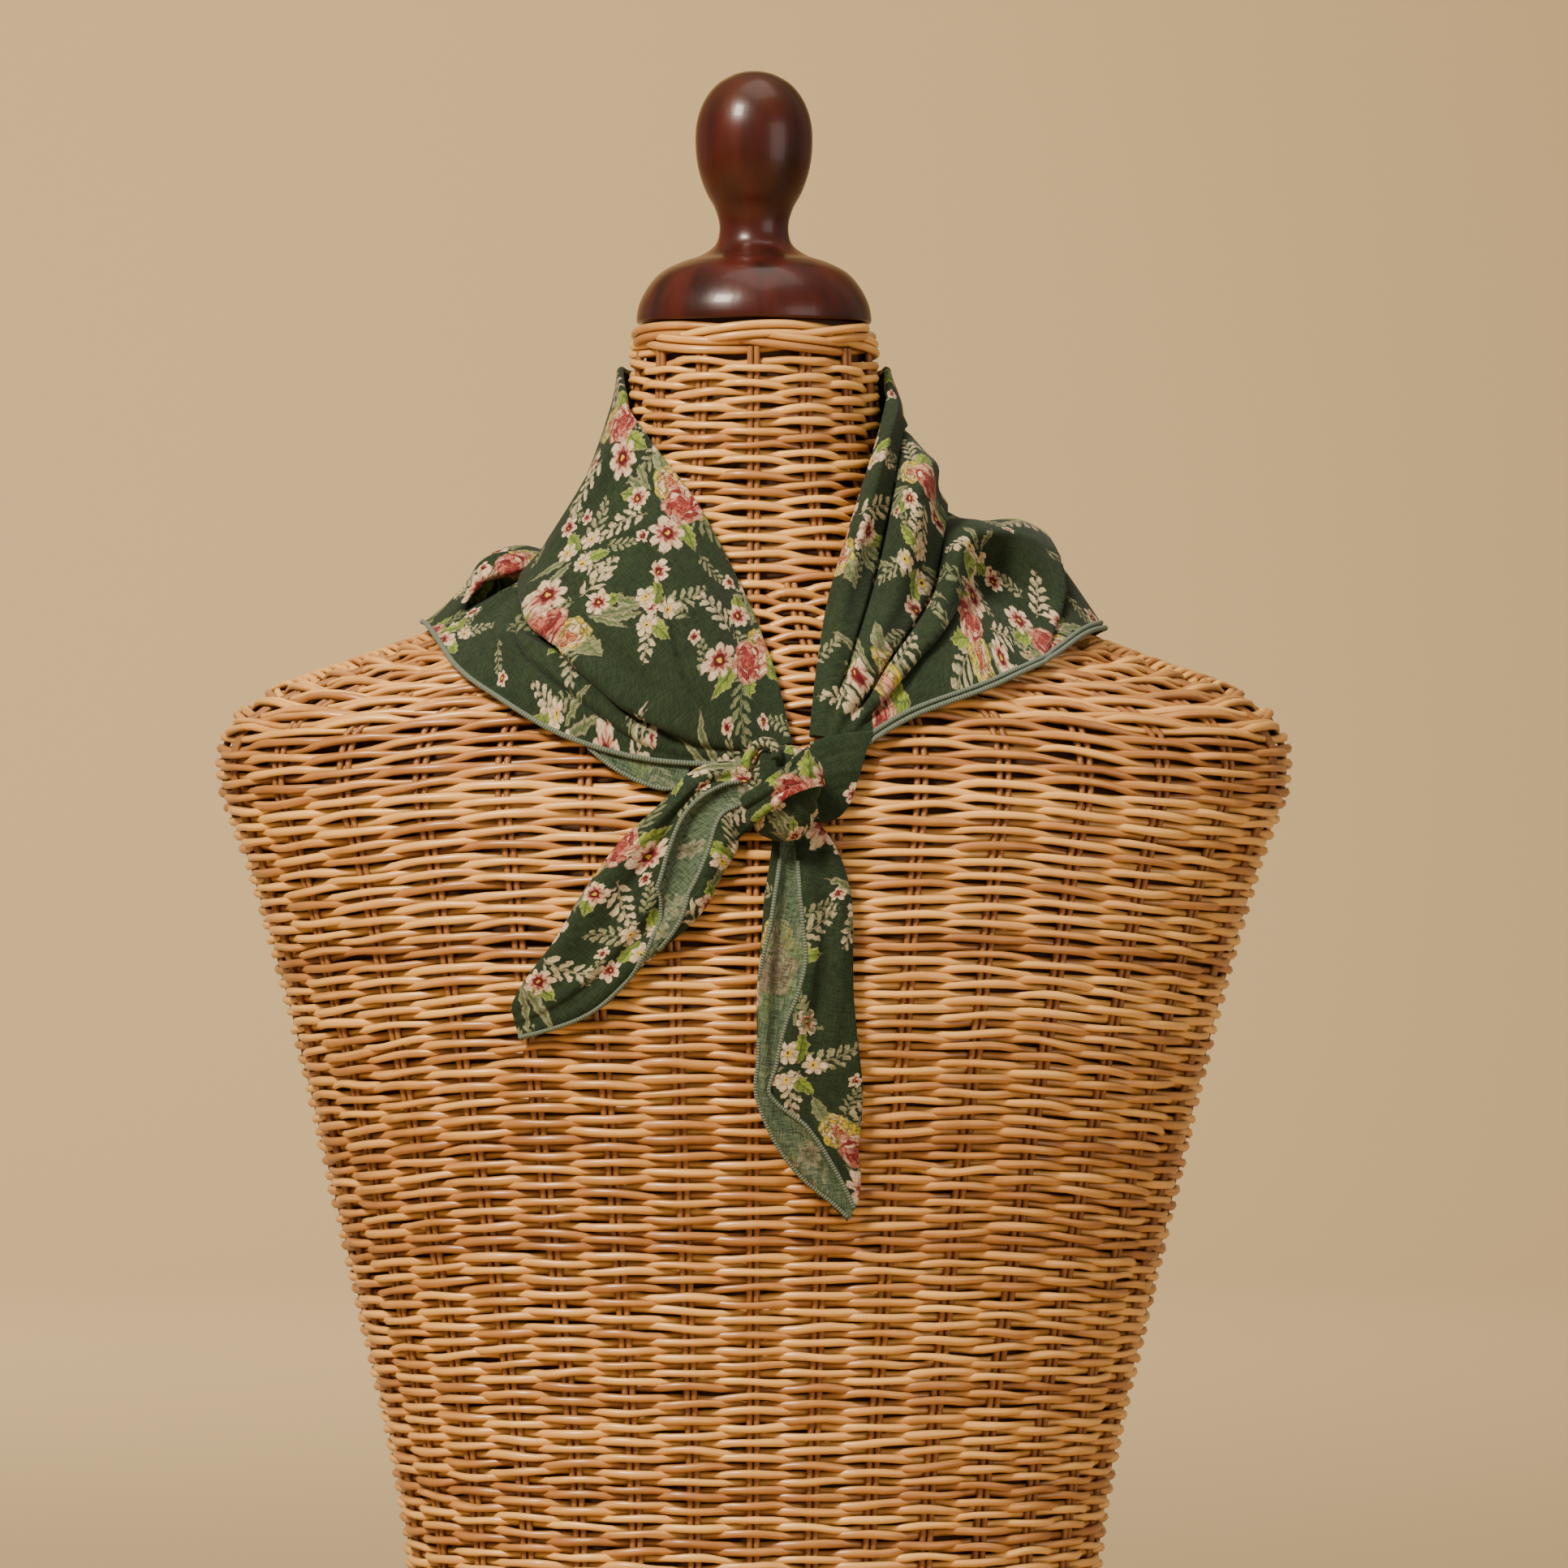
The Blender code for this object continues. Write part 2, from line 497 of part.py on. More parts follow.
def build_rim(material):
    """The braided rim as a ring with rounded corners."""
    middle = ((RIM_OUTER + RIM_INNER) / 2, (RIM_TOP + RIM_BOTTOM) / 2)
    half = ((RIM_OUTER - RIM_INNER) / 2 - RIM_ROUNDING, (RIM_TOP - RIM_BOTTOM) / 2 - RIM_ROUNDING)
    section = []
    for corner, (side, level) in enumerate(((1, 1), (-1, 1), (-1, -1), (1, -1))):
        for step in range(RIM_CORNER_STEPS + 1):
            turn = math.radians(90 * (corner + step / RIM_CORNER_STEPS))
            section.append((middle[0] + side * half[0] + RIM_ROUNDING * math.cos(turn),
                            middle[1] + level * half[1] + RIM_ROUNDING * math.sin(turn)))
    count = len(section)
    points, faces = [], []
    for side in range(RIM_SIDES):
        turn = 2 * math.pi * side / RIM_SIDES
        points += [(radius * math.cos(turn), radius * math.sin(turn), height)
                   for radius, height in section]
    for side in range(RIM_SIDES):
        after = (side + 1) % RIM_SIDES
        for step in range(count):
            beyond = (step + 1) % count
            faces.append((side * count + step, after * count + step,
                          after * count + beyond, side * count + beyond))
    add_object("form_neck_rim", np.array(points) * MM, faces, material)


def build_finial(material):
    """The turned knob and domed cap."""
    profile = np.array(FINIAL_PROFILE)
    gaps = np.linalg.norm(np.diff(profile, axis=0), axis=1)
    knots = np.concatenate([[0], np.cumsum(gaps)])
    where = np.interp(np.linspace(0, len(profile) - 1, 2 * len(profile) - 1),
                      np.arange(len(profile)), knots)
    outline = [(4.0, FINIAL_TOP - 0.3), *smooth(profile, knots, where),
               (profile[-1][0], FINIAL_BOTTOM)]
    angle = np.arange(FINIAL_SIDES) * 2 * math.pi / FINIAL_SIDES
    rings = [np.stack([radius * np.cos(angle), radius * np.sin(angle),
                       np.full(FINIAL_SIDES, height)], axis=-1) for radius, height in outline]
    rings_body("form_finial", rings, material)


def stretch(grid, normals, first, last):
    """Columns of the wrap for one stretch, drawn back square to each seam."""
    part = grid[first:last + 1].copy()
    facing = normals[first:last + 1]
    for end, inward, is_open in ((0, 1, first > 0), (-1, -2, last < len(grid) - 1)):
        if is_open:
            way = np.cross(facing[end], np.gradient(part[end], axis=0))
            way /= np.linalg.norm(way, axis=-1)[:, None]
            side = np.sign((way * (part[inward] - part[end])).sum(axis=-1))
            part[end] += way * side[:, None] * SEAM_GAP / 2
    return part


def build_wrap(material):
    """The stretches that go round the neck: left front, back and right front."""
    grid, (left_end, back_end) = wrap_points(22, 20, 16, 20)
    normals = grid_normals(grid)
    for name, first, last in (("scarf_left_front", 0, left_end),
                              ("scarf_back", left_end, back_end),
                              ("scarf_right_front", back_end, len(grid) - 1)):
        part = stretch(grid, normals, first, last)
        wall(name, part, CLOTH_WALL, material, normals[first:last + 1])


def build_tails(material):
    """The two loose ends, the under layer below the left hem and the fan by the knot."""
    tail_clear = CLOTH_CLEARANCE + TAIL_WALL / 2
    left = strip_points(tail_rows(LEFT_TAIL_FOLDS, LEFT_TAIL_ROWS), 16, 16, tail_clear)
    wall("scarf_left_tail", left, TAIL_WALL, material)
    right = strip_points(tail_rows(RIGHT_TAIL_FOLDS, RIGHT_TAIL_ROWS), 20, 16, tail_clear)
    wall("scarf_right_tail", right, TAIL_WALL, material)
    flap_rows = [[(LEFT_FLAP_STAND, x, z) for x, z in row] for row in LEFT_FLAP_ROWS]
    flap = strip_points(flap_rows, 8, 6, CLOTH_CLEARANCE + FLAP_WALL / 2)
    wall("scarf_left_underlap", flap, FLAP_WALL, material)
    tuck = strip_points(RIGHT_TUCK_ROWS, 6, 8, tail_clear)
    wall("scarf_right_tuck", tuck, TAIL_WALL, material)


def knot_surface(way, out):
    """Points on the knot's rounded body in the given directions, moved out from it."""
    way = way / np.linalg.norm(way, axis=-1)[..., None]
    share = (np.abs(way / np.array(KNOT_HALF)) ** KNOT_SQUARENESS).sum(axis=-1)
    radius = share ** (-1 / KNOT_SQUARENESS)
    return np.array(KNOT_MIDDLE) + way * (radius + out)[..., None]


def build_knot(material):
    """The knot's body, the band drawn over it and the small twist at its top."""
    turns = np.arange(KNOT_SIDES) * 2 * math.pi / KNOT_SIDES
    lifts = np.radians(np.linspace(-84, 84, KNOT_RINGS + 1))
    lift, turn = np.meshgrid(lifts, turns, indexing="ij")
    way = np.stack([np.sin(turn) * np.cos(lift), -np.cos(turn) * np.cos(lift),
                    np.sin(lift)], axis=-1)
    rings_body("scarf_knot", knot_surface(way, np.zeros(lift.shape)), material)

    tilt = math.radians(BAND_TILT)
    rise = np.array([math.cos(tilt), 0, math.sin(tilt)])
    up = np.array([-math.sin(tilt), 0, math.cos(tilt)])
    along = np.radians(np.linspace(BAND_FROM, BAND_TO, BAND_STEPS[0] + 1))
    place = np.linspace(0, 1, BAND_STEPS[0] + 1)
    lower = np.interp(place, (0, 0.5, 1), BAND_LOWER)[:, None]
    upper = np.interp(place, (0, 0.5, 1), BAND_UPPER)[:, None]
    across = np.radians(lower + (upper - lower) * np.linspace(0, 1, BAND_STEPS[1] + 1))
    along = along[:, None] + np.zeros(across.shape)
    way = (np.cos(across) * np.cos(along))[..., None] * np.array([0.0, -1.0, 0.0])
    way = way + (np.cos(across) * np.sin(along))[..., None] * rise
    way = way + np.sin(across)[..., None] * up
    out = np.full(along.shape, PIECE_GAP + BAND_WALL / 2)
    wall("scarf_knot_band", knot_surface(way, out), BAND_WALL, material)

    path = np.array(TWIST_PATH)
    knots = np.arange(len(path)) / (len(path) - 1)
    path = smooth(path, knots, np.linspace(0, 1, TWIST_STEPS + 1))
    shift = (path - np.array(KNOT_MIDDLE)[[0, 2]]) / np.array(KNOT_HALF)[[0, 2]]
    share = np.clip(1 - (np.abs(shift) ** KNOT_SQUARENESS).sum(axis=-1), 0.02, 1)
    forward = KNOT_HALF[1] * share ** (1 / KNOT_SQUARENESS)
    way = np.stack([shift[:, 0] * KNOT_HALF[0], -forward, shift[:, 1] * KNOT_HALF[2]], axis=-1)
    middle = knot_surface(way, np.full(len(way), PIECE_GAP + TWIST_RADIUS + TWIST_LIFT))
    tangent = np.gradient(middle, axis=0)
    tangent /= np.linalg.norm(tangent, axis=-1)[:, None]
    outward = way / np.linalg.norm(way, axis=-1)[:, None]
    side = np.cross(tangent, outward)
    side /= np.linalg.norm(side, axis=-1)[:, None]
    outward = np.cross(side, tangent)
    turn = np.arange(TWIST_SIDES) * 2 * math.pi / TWIST_SIDES
    rings = (middle[:, None] + TWIST_RADIUS * (np.cos(turn)[None, :, None] * outward[:, None]
                                               + np.sin(turn)[None, :, None] * side[:, None]))
    rings_body("scarf_knot_twist", rings, material)


def main():
    """Clear the scene and build every piece."""
    for item in list(bpy.data.objects):
        bpy.data.objects.remove(item)
    cane = finish("woven_cane", (0.45, 0.24, 0.09), 0.5)
    wood = finish("polished_wood", (0.10, 0.03, 0.02), 0.2)
    cloth = finish("printed_cloth", (0.03, 0.07, 0.04), 0.85)
    build_form(cane)
    build_rim(cane)
    build_finial(wood)
    build_wrap(cloth)
    build_tails(cloth)
    build_knot(cloth)


main()
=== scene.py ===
"""Looks of a square scarf worn on a wicker dress form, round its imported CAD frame.

Lengths are in millimetres in the tables and in metres in the scene. +Z is up and the
front faces -Y.
"""

import enum
import logging
import math
from dataclasses import dataclass
from typing import Any, Callable, Iterable, Optional, Sequence, Union

import bpy
import numpy as np
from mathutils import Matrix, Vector

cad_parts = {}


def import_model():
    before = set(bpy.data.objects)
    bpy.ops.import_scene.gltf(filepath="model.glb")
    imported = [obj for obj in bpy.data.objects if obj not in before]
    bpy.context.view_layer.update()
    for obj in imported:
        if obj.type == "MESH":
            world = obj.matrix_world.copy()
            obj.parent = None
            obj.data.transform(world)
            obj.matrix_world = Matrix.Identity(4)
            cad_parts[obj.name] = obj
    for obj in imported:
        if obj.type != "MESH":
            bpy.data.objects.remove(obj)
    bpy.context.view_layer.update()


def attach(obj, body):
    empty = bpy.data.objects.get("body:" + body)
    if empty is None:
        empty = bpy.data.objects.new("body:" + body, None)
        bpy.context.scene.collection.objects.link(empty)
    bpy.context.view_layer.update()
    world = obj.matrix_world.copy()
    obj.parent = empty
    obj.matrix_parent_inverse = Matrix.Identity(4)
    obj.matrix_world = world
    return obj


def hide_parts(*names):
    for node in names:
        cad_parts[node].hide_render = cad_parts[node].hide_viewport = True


MM = 0.001
Pair = tuple[float, float]
Triple = tuple[float, float, float]
Color = Triple
Path = tuple[Pair, ...]
Array = np.ndarray
Piece = bpy.types.Object
Material = bpy.types.Material
Operand = Union["Signal", float]
UPRIGHT = np.array([0.0, 0.0, 1.0])
LEVEL = np.array([1.0, 1.0, 0.0])
log = logging.getLogger("scene")


def smooth(values: Any, knots: Any, where: Array) -> Array:
    """A smooth curve through values at knots, read at other places.

    Args:
        values: One value or vector for each knot.
        knots: Rising places of the values.
        where: Places to read.

    Returns:
        One value or vector for each place.
    """
    values, knots = np.asarray(values, float), np.asarray(knots, float)
    shape = (-1,) + (1,) * (values.ndim - 1)
    steps = np.diff(knots)
    rise = np.diff(values, axis=0) / steps.reshape(shape)
    before, after = steps[:-1].reshape(shape), steps[1:].reshape(shape)
    inner = (after * rise[:-1] + before * rise[1:]) / (before + after)
    grade = np.concatenate([(1.5 * rise[0] - 0.5 * inner[0])[None], inner,
                            (1.5 * rise[-1] - 0.5 * inner[-1])[None]])
    place = np.clip(np.searchsorted(knots, where, side="right") - 1, 0, len(knots) - 2)
    step = (knots[place + 1] - knots[place]).reshape(shape)
    t = (where - knots[place]).reshape(shape) / step
    start, end = values[place], values[place + 1]
    return ((2 * t**3 - 3 * t**2 + 1) * start + (t**3 - 2 * t**2 + t) * step * grade[place]
            + (3 * t**2 - 2 * t**3) * end + (t**3 - t**2) * step * grade[place + 1])


def soft_step(values: Array, low: float, high: float) -> Array:
    """Zero below low, one above high and smooth between."""
    t = np.clip((values - low) / (high - low), 0, 1)
    return t * t * (3 - 2 * t)


def unit(vectors: Array) -> Array:
    """Vectors at length one."""
    return vectors / np.maximum(np.linalg.norm(vectors, axis=-1, keepdims=True), 1e-9)


def run_along(points: Array) -> Array:
    """Length from the first to each point of a line, or to each row of a net."""
    gaps = np.linalg.norm(np.diff(points, axis=0), axis=-1)
    if gaps.ndim > 1:
        gaps = gaps.mean(axis=1)
    return np.concatenate([[0], np.cumsum(gaps)])


def run_across(points: Array) -> Array:
    """Length from each row's first point to each of its points."""
    gaps = np.linalg.norm(np.diff(points, axis=1), axis=-1)
    return np.concatenate([np.zeros((len(gaps), 1)), np.cumsum(gaps, axis=1)], axis=1)


def evened(rows: Array, share: float) -> Array:
    """Values along closed rows, each summed with its neighbours and divided."""
    return (np.roll(rows, 1, axis=1) + rows + np.roll(rows, -1, axis=1)) / share


def circle(count: int) -> Array:
    """Evenly spaced angles once round."""
    return np.arange(count) * 2 * math.pi / count


def level_ring(radius: float, height: float, angle: Array) -> Array:
    """Points of a level ring about the neck's axis."""
    return np.stack([radius * np.cos(angle), radius * np.sin(angle),
                     np.full(len(angle), height)], axis=-1)


def turned(flat: Array, turn: float) -> Array:
    """Flat places turned about the middle, by radians."""
    side, up = math.cos(turn), math.sin(turn)
    return flat @ np.array([[side, up], [-up, side]])


def declare(piece: Piece, slot: str, *nodes: str) -> Piece:
    """Ties a piece to the frame, hides the solids it stands for, and reports it."""
    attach(piece, "root")
    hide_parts(*nodes)
    log.info("built %s: %d faces", piece.name, len(piece.data.polygons))
    return piece


def through(operation: str) -> Callable[..., "Signal"]:
    """A method that puts a signal and its operands through one Math node."""
    return lambda signal, *others: signal.math(operation, *others)


class Signal:
    """A socket of a shader that takes part in plain arithmetic."""

    def __init__(self, sheet: "ShaderSheet", socket: bpy.types.NodeSocket) -> None:
        """Holds the socket and the sheet it is on."""
        self.sheet, self.socket = sheet, socket

    def math(self, operation: str, *others: Operand, clamp: bool = False) -> "Signal":
        """This signal and others through one Math node.

        Args:
            operation: The node's operation.
            others: Further operands, in order.
            clamp: Whether the result is held to 0 to 1.

        Returns:
            The node's result.
        """
        return self.sheet.calculate(operation, (self, *others), clamp)

    __add__ = __radd__ = through("ADD")
    __sub__ = through("SUBTRACT")
    __mul__ = __rmul__ = through("MULTIPLY")
    __truediv__ = through("DIVIDE")
    __pow__ = through("POWER")
    __abs__ = through("ABSOLUTE")

    def __rsub__(self, other: float) -> "Signal":
        """Difference from a number."""
        return self.sheet.calculate("SUBTRACT", (other, self), False)

    def __neg__(self) -> "Signal":
        """Opposite."""
        return self * -1.0

    def above(self, edge: Operand, soft: float) -> "Signal":
        """One where this is above the edge, with a soft border of the given width."""
        return ((self - edge) * (1.0 / soft)).math("ADD", 0.5, clamp=True)

    def below(self, edge: Operand, soft: float) -> "Signal":
        """One where this is below the edge, with a soft border of the given width."""
        return 1.0 - self.above(edge, soft)


class ShaderSheet:
    """The node sheet of one material."""

    def __init__(self, name: str) -> None:
        """Makes a material with a plain Principled shader."""
        self.material = bpy.data.materials.new(name)
        self.material.use_nodes = True
        self.tree = self.material.node_tree
        self.shader = self.tree.nodes["Principled BSDF"]

    def feed(self, socket: bpy.types.NodeSocket, value: Any) -> None:
        """Links a signal to a socket, or sets a plain value on it."""
        if isinstance(value, Signal):
            self.tree.links.new(value.socket, socket)
        elif isinstance(value, tuple) and socket.type == "RGBA" and len(value) == 3:
            socket.default_value = (*value, 1.0)
        else:
            socket.default_value = value

    def node(self, kind: str, settings: Optional[dict[str, Any]] = None,
             inputs: Optional[dict[Any, Any]] = None, output: Any = 0) -> Signal:
        """One node of any kind.

        Args:
            kind: The node's type name, without its common start.
            settings: Its properties.
            inputs: Its sockets' values or signals, by name or number.
            output: Which output is wanted.

        Returns:
            That output.
        """
        made = self.tree.nodes.new("ShaderNode" + kind)
        for name, value in (settings or {}).items():
            setattr(made, name, value)
        for name, value in (inputs or {}).items():
            self.feed(made.inputs[name], value)
        return Signal(self, made.outputs[output])

    def calculate(self, operation: str, values: Sequence[Operand], clamp: bool) -> Signal:
        """A Math node on up to three values."""
        return self.node("Math", {"operation": operation, "use_clamp": clamp},
                         dict(enumerate(values)))

    def vector(self, operation: str, *values: Any, output: Any = 0) -> Signal:
        """A Vector Math node."""
        return self.node("VectorMath", {"operation": operation},
                         dict(enumerate(values)), output)

    def scaled(self, vector: Signal, factor: float) -> Signal:
        """A vector times a number."""
        return self.node("VectorMath", {"operation": "SCALE"}, {0: vector, "Scale": factor})

    def blend(self, share: Operand, low: Any, high: Any) -> Signal:
        """Two colours mixed by a share.

        Args:
            share: How much of the second colour.
            low: The first colour.
            high: The second colour.

        Returns:
            The mixed colour.
        """
        return self.node("Mix", {"data_type": "RGBA"},
                         {0: share, 6: low, 7: high}, 2)

    def parts(self, vector: Signal) -> tuple[Signal, Signal, Signal]:
        """The three parts of a vector."""
        first = self.node("SeparateXYZ", None, {0: vector})
        outputs = first.socket.node.outputs
        return first, Signal(self, outputs[1]), Signal(self, outputs[2])

    def joined(self, x: Operand, y: Operand, z: Operand = 0.0) -> Signal:
        """A vector from three parts."""
        return self.node("CombineXYZ", None, {0: x, 1: y, 2: z})

    def strand(self) -> tuple[Signal, Signal, Signal]:
        """Length along a strand, its tone and the place round it."""
        return self.parts(self.node("Attribute", {"attribute_name": "strand"}, None, 1))

    def noise(self, place: Signal, scale: float = 1.0, detail: float = 2.0) -> Signal:
        """Soft noise from 0 to 1."""
        return self.node("TexNoise", None,
                         {"Vector": place, "Scale": scale, "Detail": detail}, 0)

    def set(self, **values: Any) -> None:
        """Feeds the Principled shader, with names written with underscores."""
        for name, value in values.items():
            self.feed(self.shader.inputs[name.replace("_", " ")], value)

    def bump(self, height: Signal, distance: float, strength: float = 1.0) -> None:
        """Feeds the shader's normal from a height in the range 0 to 1."""
        self.set(Normal=self.node("Bump", None, {
            "Height": height, "Distance": distance, "Strength": strength}))


class Side(enum.Enum):
    """Which side of the printed cloth faces out."""

    PRINTED = 0.0
    WRONG = 1.0


@dataclass(frozen=True)
class CaneFinish:
    """Varnished cane, with a tone for each strand and painted shade on each rod's inward side."""

    crevice_shade: Color = (0.080, 0.026, 0.009)
    dark: Color = (0.25, 0.082, 0.020)
    middle: Color = (0.58, 0.25, 0.060)
    light: Color = (0.97, 0.52, 0.135)
    roughness: float = 0.26
    coat: float = 0.3

    def make(self) -> Material:
        """The cane's material."""
        sheet = ShaderSheet("woven_cane_look")
        along, tone, around = sheet.strand()
        streaks = sheet.noise(sheet.joined(along * 0.02, around * 2.2, tone * 40.0), detail=3.0)
        spots = sheet.noise(sheet.joined(along * 0.11, around * 0.6, tone * 70.0))
        shade = (tone * 0.55 + streaks * 0.65 + spots * 0.25).math("SUBTRACT", 0.22, clamp=True)
        low = sheet.blend(shade.above(0.25, 0.5), self.dark, self.middle)
        rod = sheet.blend(shade.above(0.62, 0.5), low, self.light)
        # Painted shade: each rod's inward-facing side goes towards a dark brown, for the shade in
        # the crevices between rods.
        sheet.set(Base_Color=sheet.blend(around.above(0.52, 0.55), self.crevice_shade, rod),
                  Roughness=spots * 0.2 + self.roughness, Coat_Weight=self.coat,
                  Coat_Roughness=0.2)
        sheet.bump(streaks, 0.0005, 0.6)
        return sheet.material


@dataclass(frozen=True)
class StakeFinish:
    """The upright stakes behind the weavers, in cane tones painted darker for the shade they lie
    in.
    """

    dark: Color = (0.16, 0.052, 0.011)
    light: Color = (0.46, 0.19, 0.04)

    def make(self) -> Material:
        """The stakes' material."""
        sheet = ShaderSheet("shaded_stake_look")
        place = sheet.node("TexCoord", None, None, 3)
        grain = sheet.noise(place, 90.0)
        # Painted shade: both tones sit darker than the weavers' cane.
        sheet.set(Base_Color=sheet.blend(grain, self.dark, self.light), Roughness=0.5)
        return sheet.material


@dataclass(frozen=True)
class WoodFinish:
    """Turned wood under dark red-brown gloss varnish."""

    dark: Color = (0.010, 0.002, 0.001)
    light: Color = (0.080, 0.010, 0.0035)
    olive: Color = (0.045, 0.024, 0.006)
    roughness: float = 0.25
    coat: float = 0.15
    crown_height: float = 0.738

    def make(self) -> Material:
        """The finial's material."""
        sheet = ShaderSheet("polished_wood_look")
        place = sheet.node("TexCoord", None, None, 3)
        x, y, z = sheet.parts(place)
        grain = sheet.noise(sheet.joined(x * 60.0, y * 60.0, z * 9.0), detail=4.0)
        clouds = sheet.noise(place, 28.0)
        red = sheet.blend(grain.above(0.5, 0.3) * 0.7 + clouds * 0.3, self.dark, self.light)
        crown = z.above(self.crown_height, 0.02) * clouds.above(0.4, 0.4)
        sheet.set(Base_Color=sheet.blend(crown * 0.8, red, self.olive),
                  Roughness=grain * 0.16 + self.roughness, Specular_IOR_Level=0.35,
                  Coat_Weight=self.coat, Coat_Roughness=0.10)
        sheet.bump(grain * 0.6 + clouds * 0.4, 0.0012, 0.55)
        return sheet.material


@dataclass(frozen=True)
class PrintColors:
    """Colours of the floral print."""

    ground: Color = (0.009, 0.0175, 0.007)
    ground_light: Color = (0.026, 0.043, 0.016)
    wrong: Color = (0.130, 0.180, 0.115)
    cream: Color = (0.62, 0.47, 0.31)
    blush: Color = (0.46, 0.15, 0.10)
    pink: Color = (0.19, 0.008, 0.012)
    red: Color = (0.10, 0.002, 0.005)
    yellow: Color = (0.60, 0.41, 0.035)
    rust: Color = (0.24, 0.03, 0.008)
    lime: Color = (0.23, 0.30, 0.04)
    lime_dark: Color = (0.07, 0.11, 0.022)
    sage: Color = (0.20, 0.21, 0.105)
    moss: Color = (0.080, 0.11, 0.042)
    black: Color = (0.03, 0.015, 0.010)


@dataclass(frozen=True)
class FlowerArtist:
    """Draws small flowers, leaves and sprigs on a shader sheet in flat millimetres."""

    sheet: ShaderSheet
    colors: PrintColors

    def local(self, place: Signal, x: float, y: float, size: float, turn: float) -> Signal:
        """Coordinates round a motif's middle.

        Args:
            place: Flat coordinates in millimetres.
            x: The motif's place across.
            y: The motif's place along.
            size: Millimetres that become one unit.
            turn: Its turn in degrees.

        Returns:
            The motif's own coordinates.
        """
        return self.sheet.node("Mapping", {"vector_type": "TEXTURE"}, {
            "Vector": place, "Location": (x, y, 0.0),
            "Rotation": (0.0, 0.0, math.radians(turn)), "Scale": (size, size, size)})

    def draw(self, motif: Callable[..., Signal], under: Signal, place: Signal,
             spots: Iterable[tuple[Any, ...]]) -> Signal:
        """A motif drawn at several spots.

        Args:
            motif: The method that draws it.
            under: Colour beneath it.
            place: Flat coordinates in millimetres.
            spots: Each one's x, y, size and turn, and what else the motif takes.

        Returns:
            The colour with all of them on it.
        """
        for x, y, size, turn, *options in spots:
            under = motif(under, self.local(place, x, y, size, turn), *options)
        return under

    def polar(self, place: Signal) -> tuple[Signal, Signal]:
        """Distance and angle of a place."""
        x, y, _ = self.sheet.parts(place)
        return self.sheet.vector("LENGTH", place, output=1), y.math("ARCTAN2", x)

    def rose(self, under: Signal, place: Signal, warm: bool) -> Signal:
        """A full rose seen from the front, with loose petals.

        Args:
            under: Colour beneath it.
            place: The motif's own coordinates.
            warm: Yellow with rust rather than pink with red.

        Returns:
            The colour with it.
        """
        c, sheet = self.colors, self.sheet
        far, turn = self.polar(place)
        whorl = sheet.joined(far * 2.1, (turn + far * 1.5).math("SINE") * (far * 1.1 + 0.5),
                             (turn + far * 1.5).math("COSINE") * (far * 1.1 + 0.5))
        petals = sheet.node("TexVoronoi", None, {"Vector": whorl, "Scale": 1.9})
        outputs = petals.socket.node.outputs
        chance, other, _ = sheet.parts(Signal(sheet, outputs["Color"]))
        middle = Signal(sheet, outputs["Distance"])
        rim = sheet.node("TexVoronoi", {"feature": "DISTANCE_TO_EDGE"},
                         {"Vector": whorl, "Scale": 1.9})
        edge = (turn * 5.0 + 1.0).math("SINE") * 0.07 + 0.9
        outer, inner, heart, deep = ((c.yellow, c.cream, c.rust, c.red) if warm
                                     else (c.cream, c.blush, c.pink, c.red))
        shade = sheet.blend(chance.above(0.55, 0.6), outer, inner)
        shade = sheet.blend((middle * 1.5 - 0.35).math("ADD", 0.0, clamp=True), shade,
                            c.lime if warm else c.blush)
        core = (other * (0.45 if warm else 0.75) + 0.16 - far).above(0.0, 0.12)
        shade = sheet.blend(core * 0.95, shade, heart)
        pale = rim.below(0.05, 0.05) * far.below(0.55, 0.2)
        shade = sheet.blend(pale * 0.7, shade, inner)
        line = rim.below(0.075, 0.06) * far.above(0.4, 0.2) * (1.35 - far)
        shade = sheet.blend(line.math("ADD", 0.0, clamp=True), shade, deep)
        return sheet.blend(far.below(edge, 0.07), under, shade)

    def daisy(self, under: Signal, place: Signal, petals: int, blush: bool) -> Signal:
        """An open flower with a ring of petals.

        Args:
            under: Colour beneath it.
            place: The motif's own coordinates.
            petals: Number of petals.
            blush: Pink at the heart, with a red ring, rather than a yellow heart.

        Returns:
            The colour with it.
        """
        c, sheet = self.colors, self.sheet
        far, turn = self.polar(place)
        comb = abs((turn * (petals / 2.0)).math("COSINE"))
        edge = comb ** 0.5 * 0.45 + (turn * 2.0 + 1.0).math("SINE") * 0.08 + 0.48
        shade = sheet.blend(comb.below(0.45, 0.4) * 0.75, c.cream, c.blush if blush else c.sage)
        shade = sheet.blend((far - comb * 0.34).below(0.2, 0.16) * (0.9 if blush else 0.3), shade,
                            c.pink)
        shade = sheet.blend((far + comb * 0.06).below(0.34, 0.08), shade,
                            c.red if blush else c.yellow)
        shade = sheet.blend(far.below(0.11, 0.06), shade, c.yellow if blush else c.black)
        return sheet.blend(far.below(edge, 0.08), under, shade)

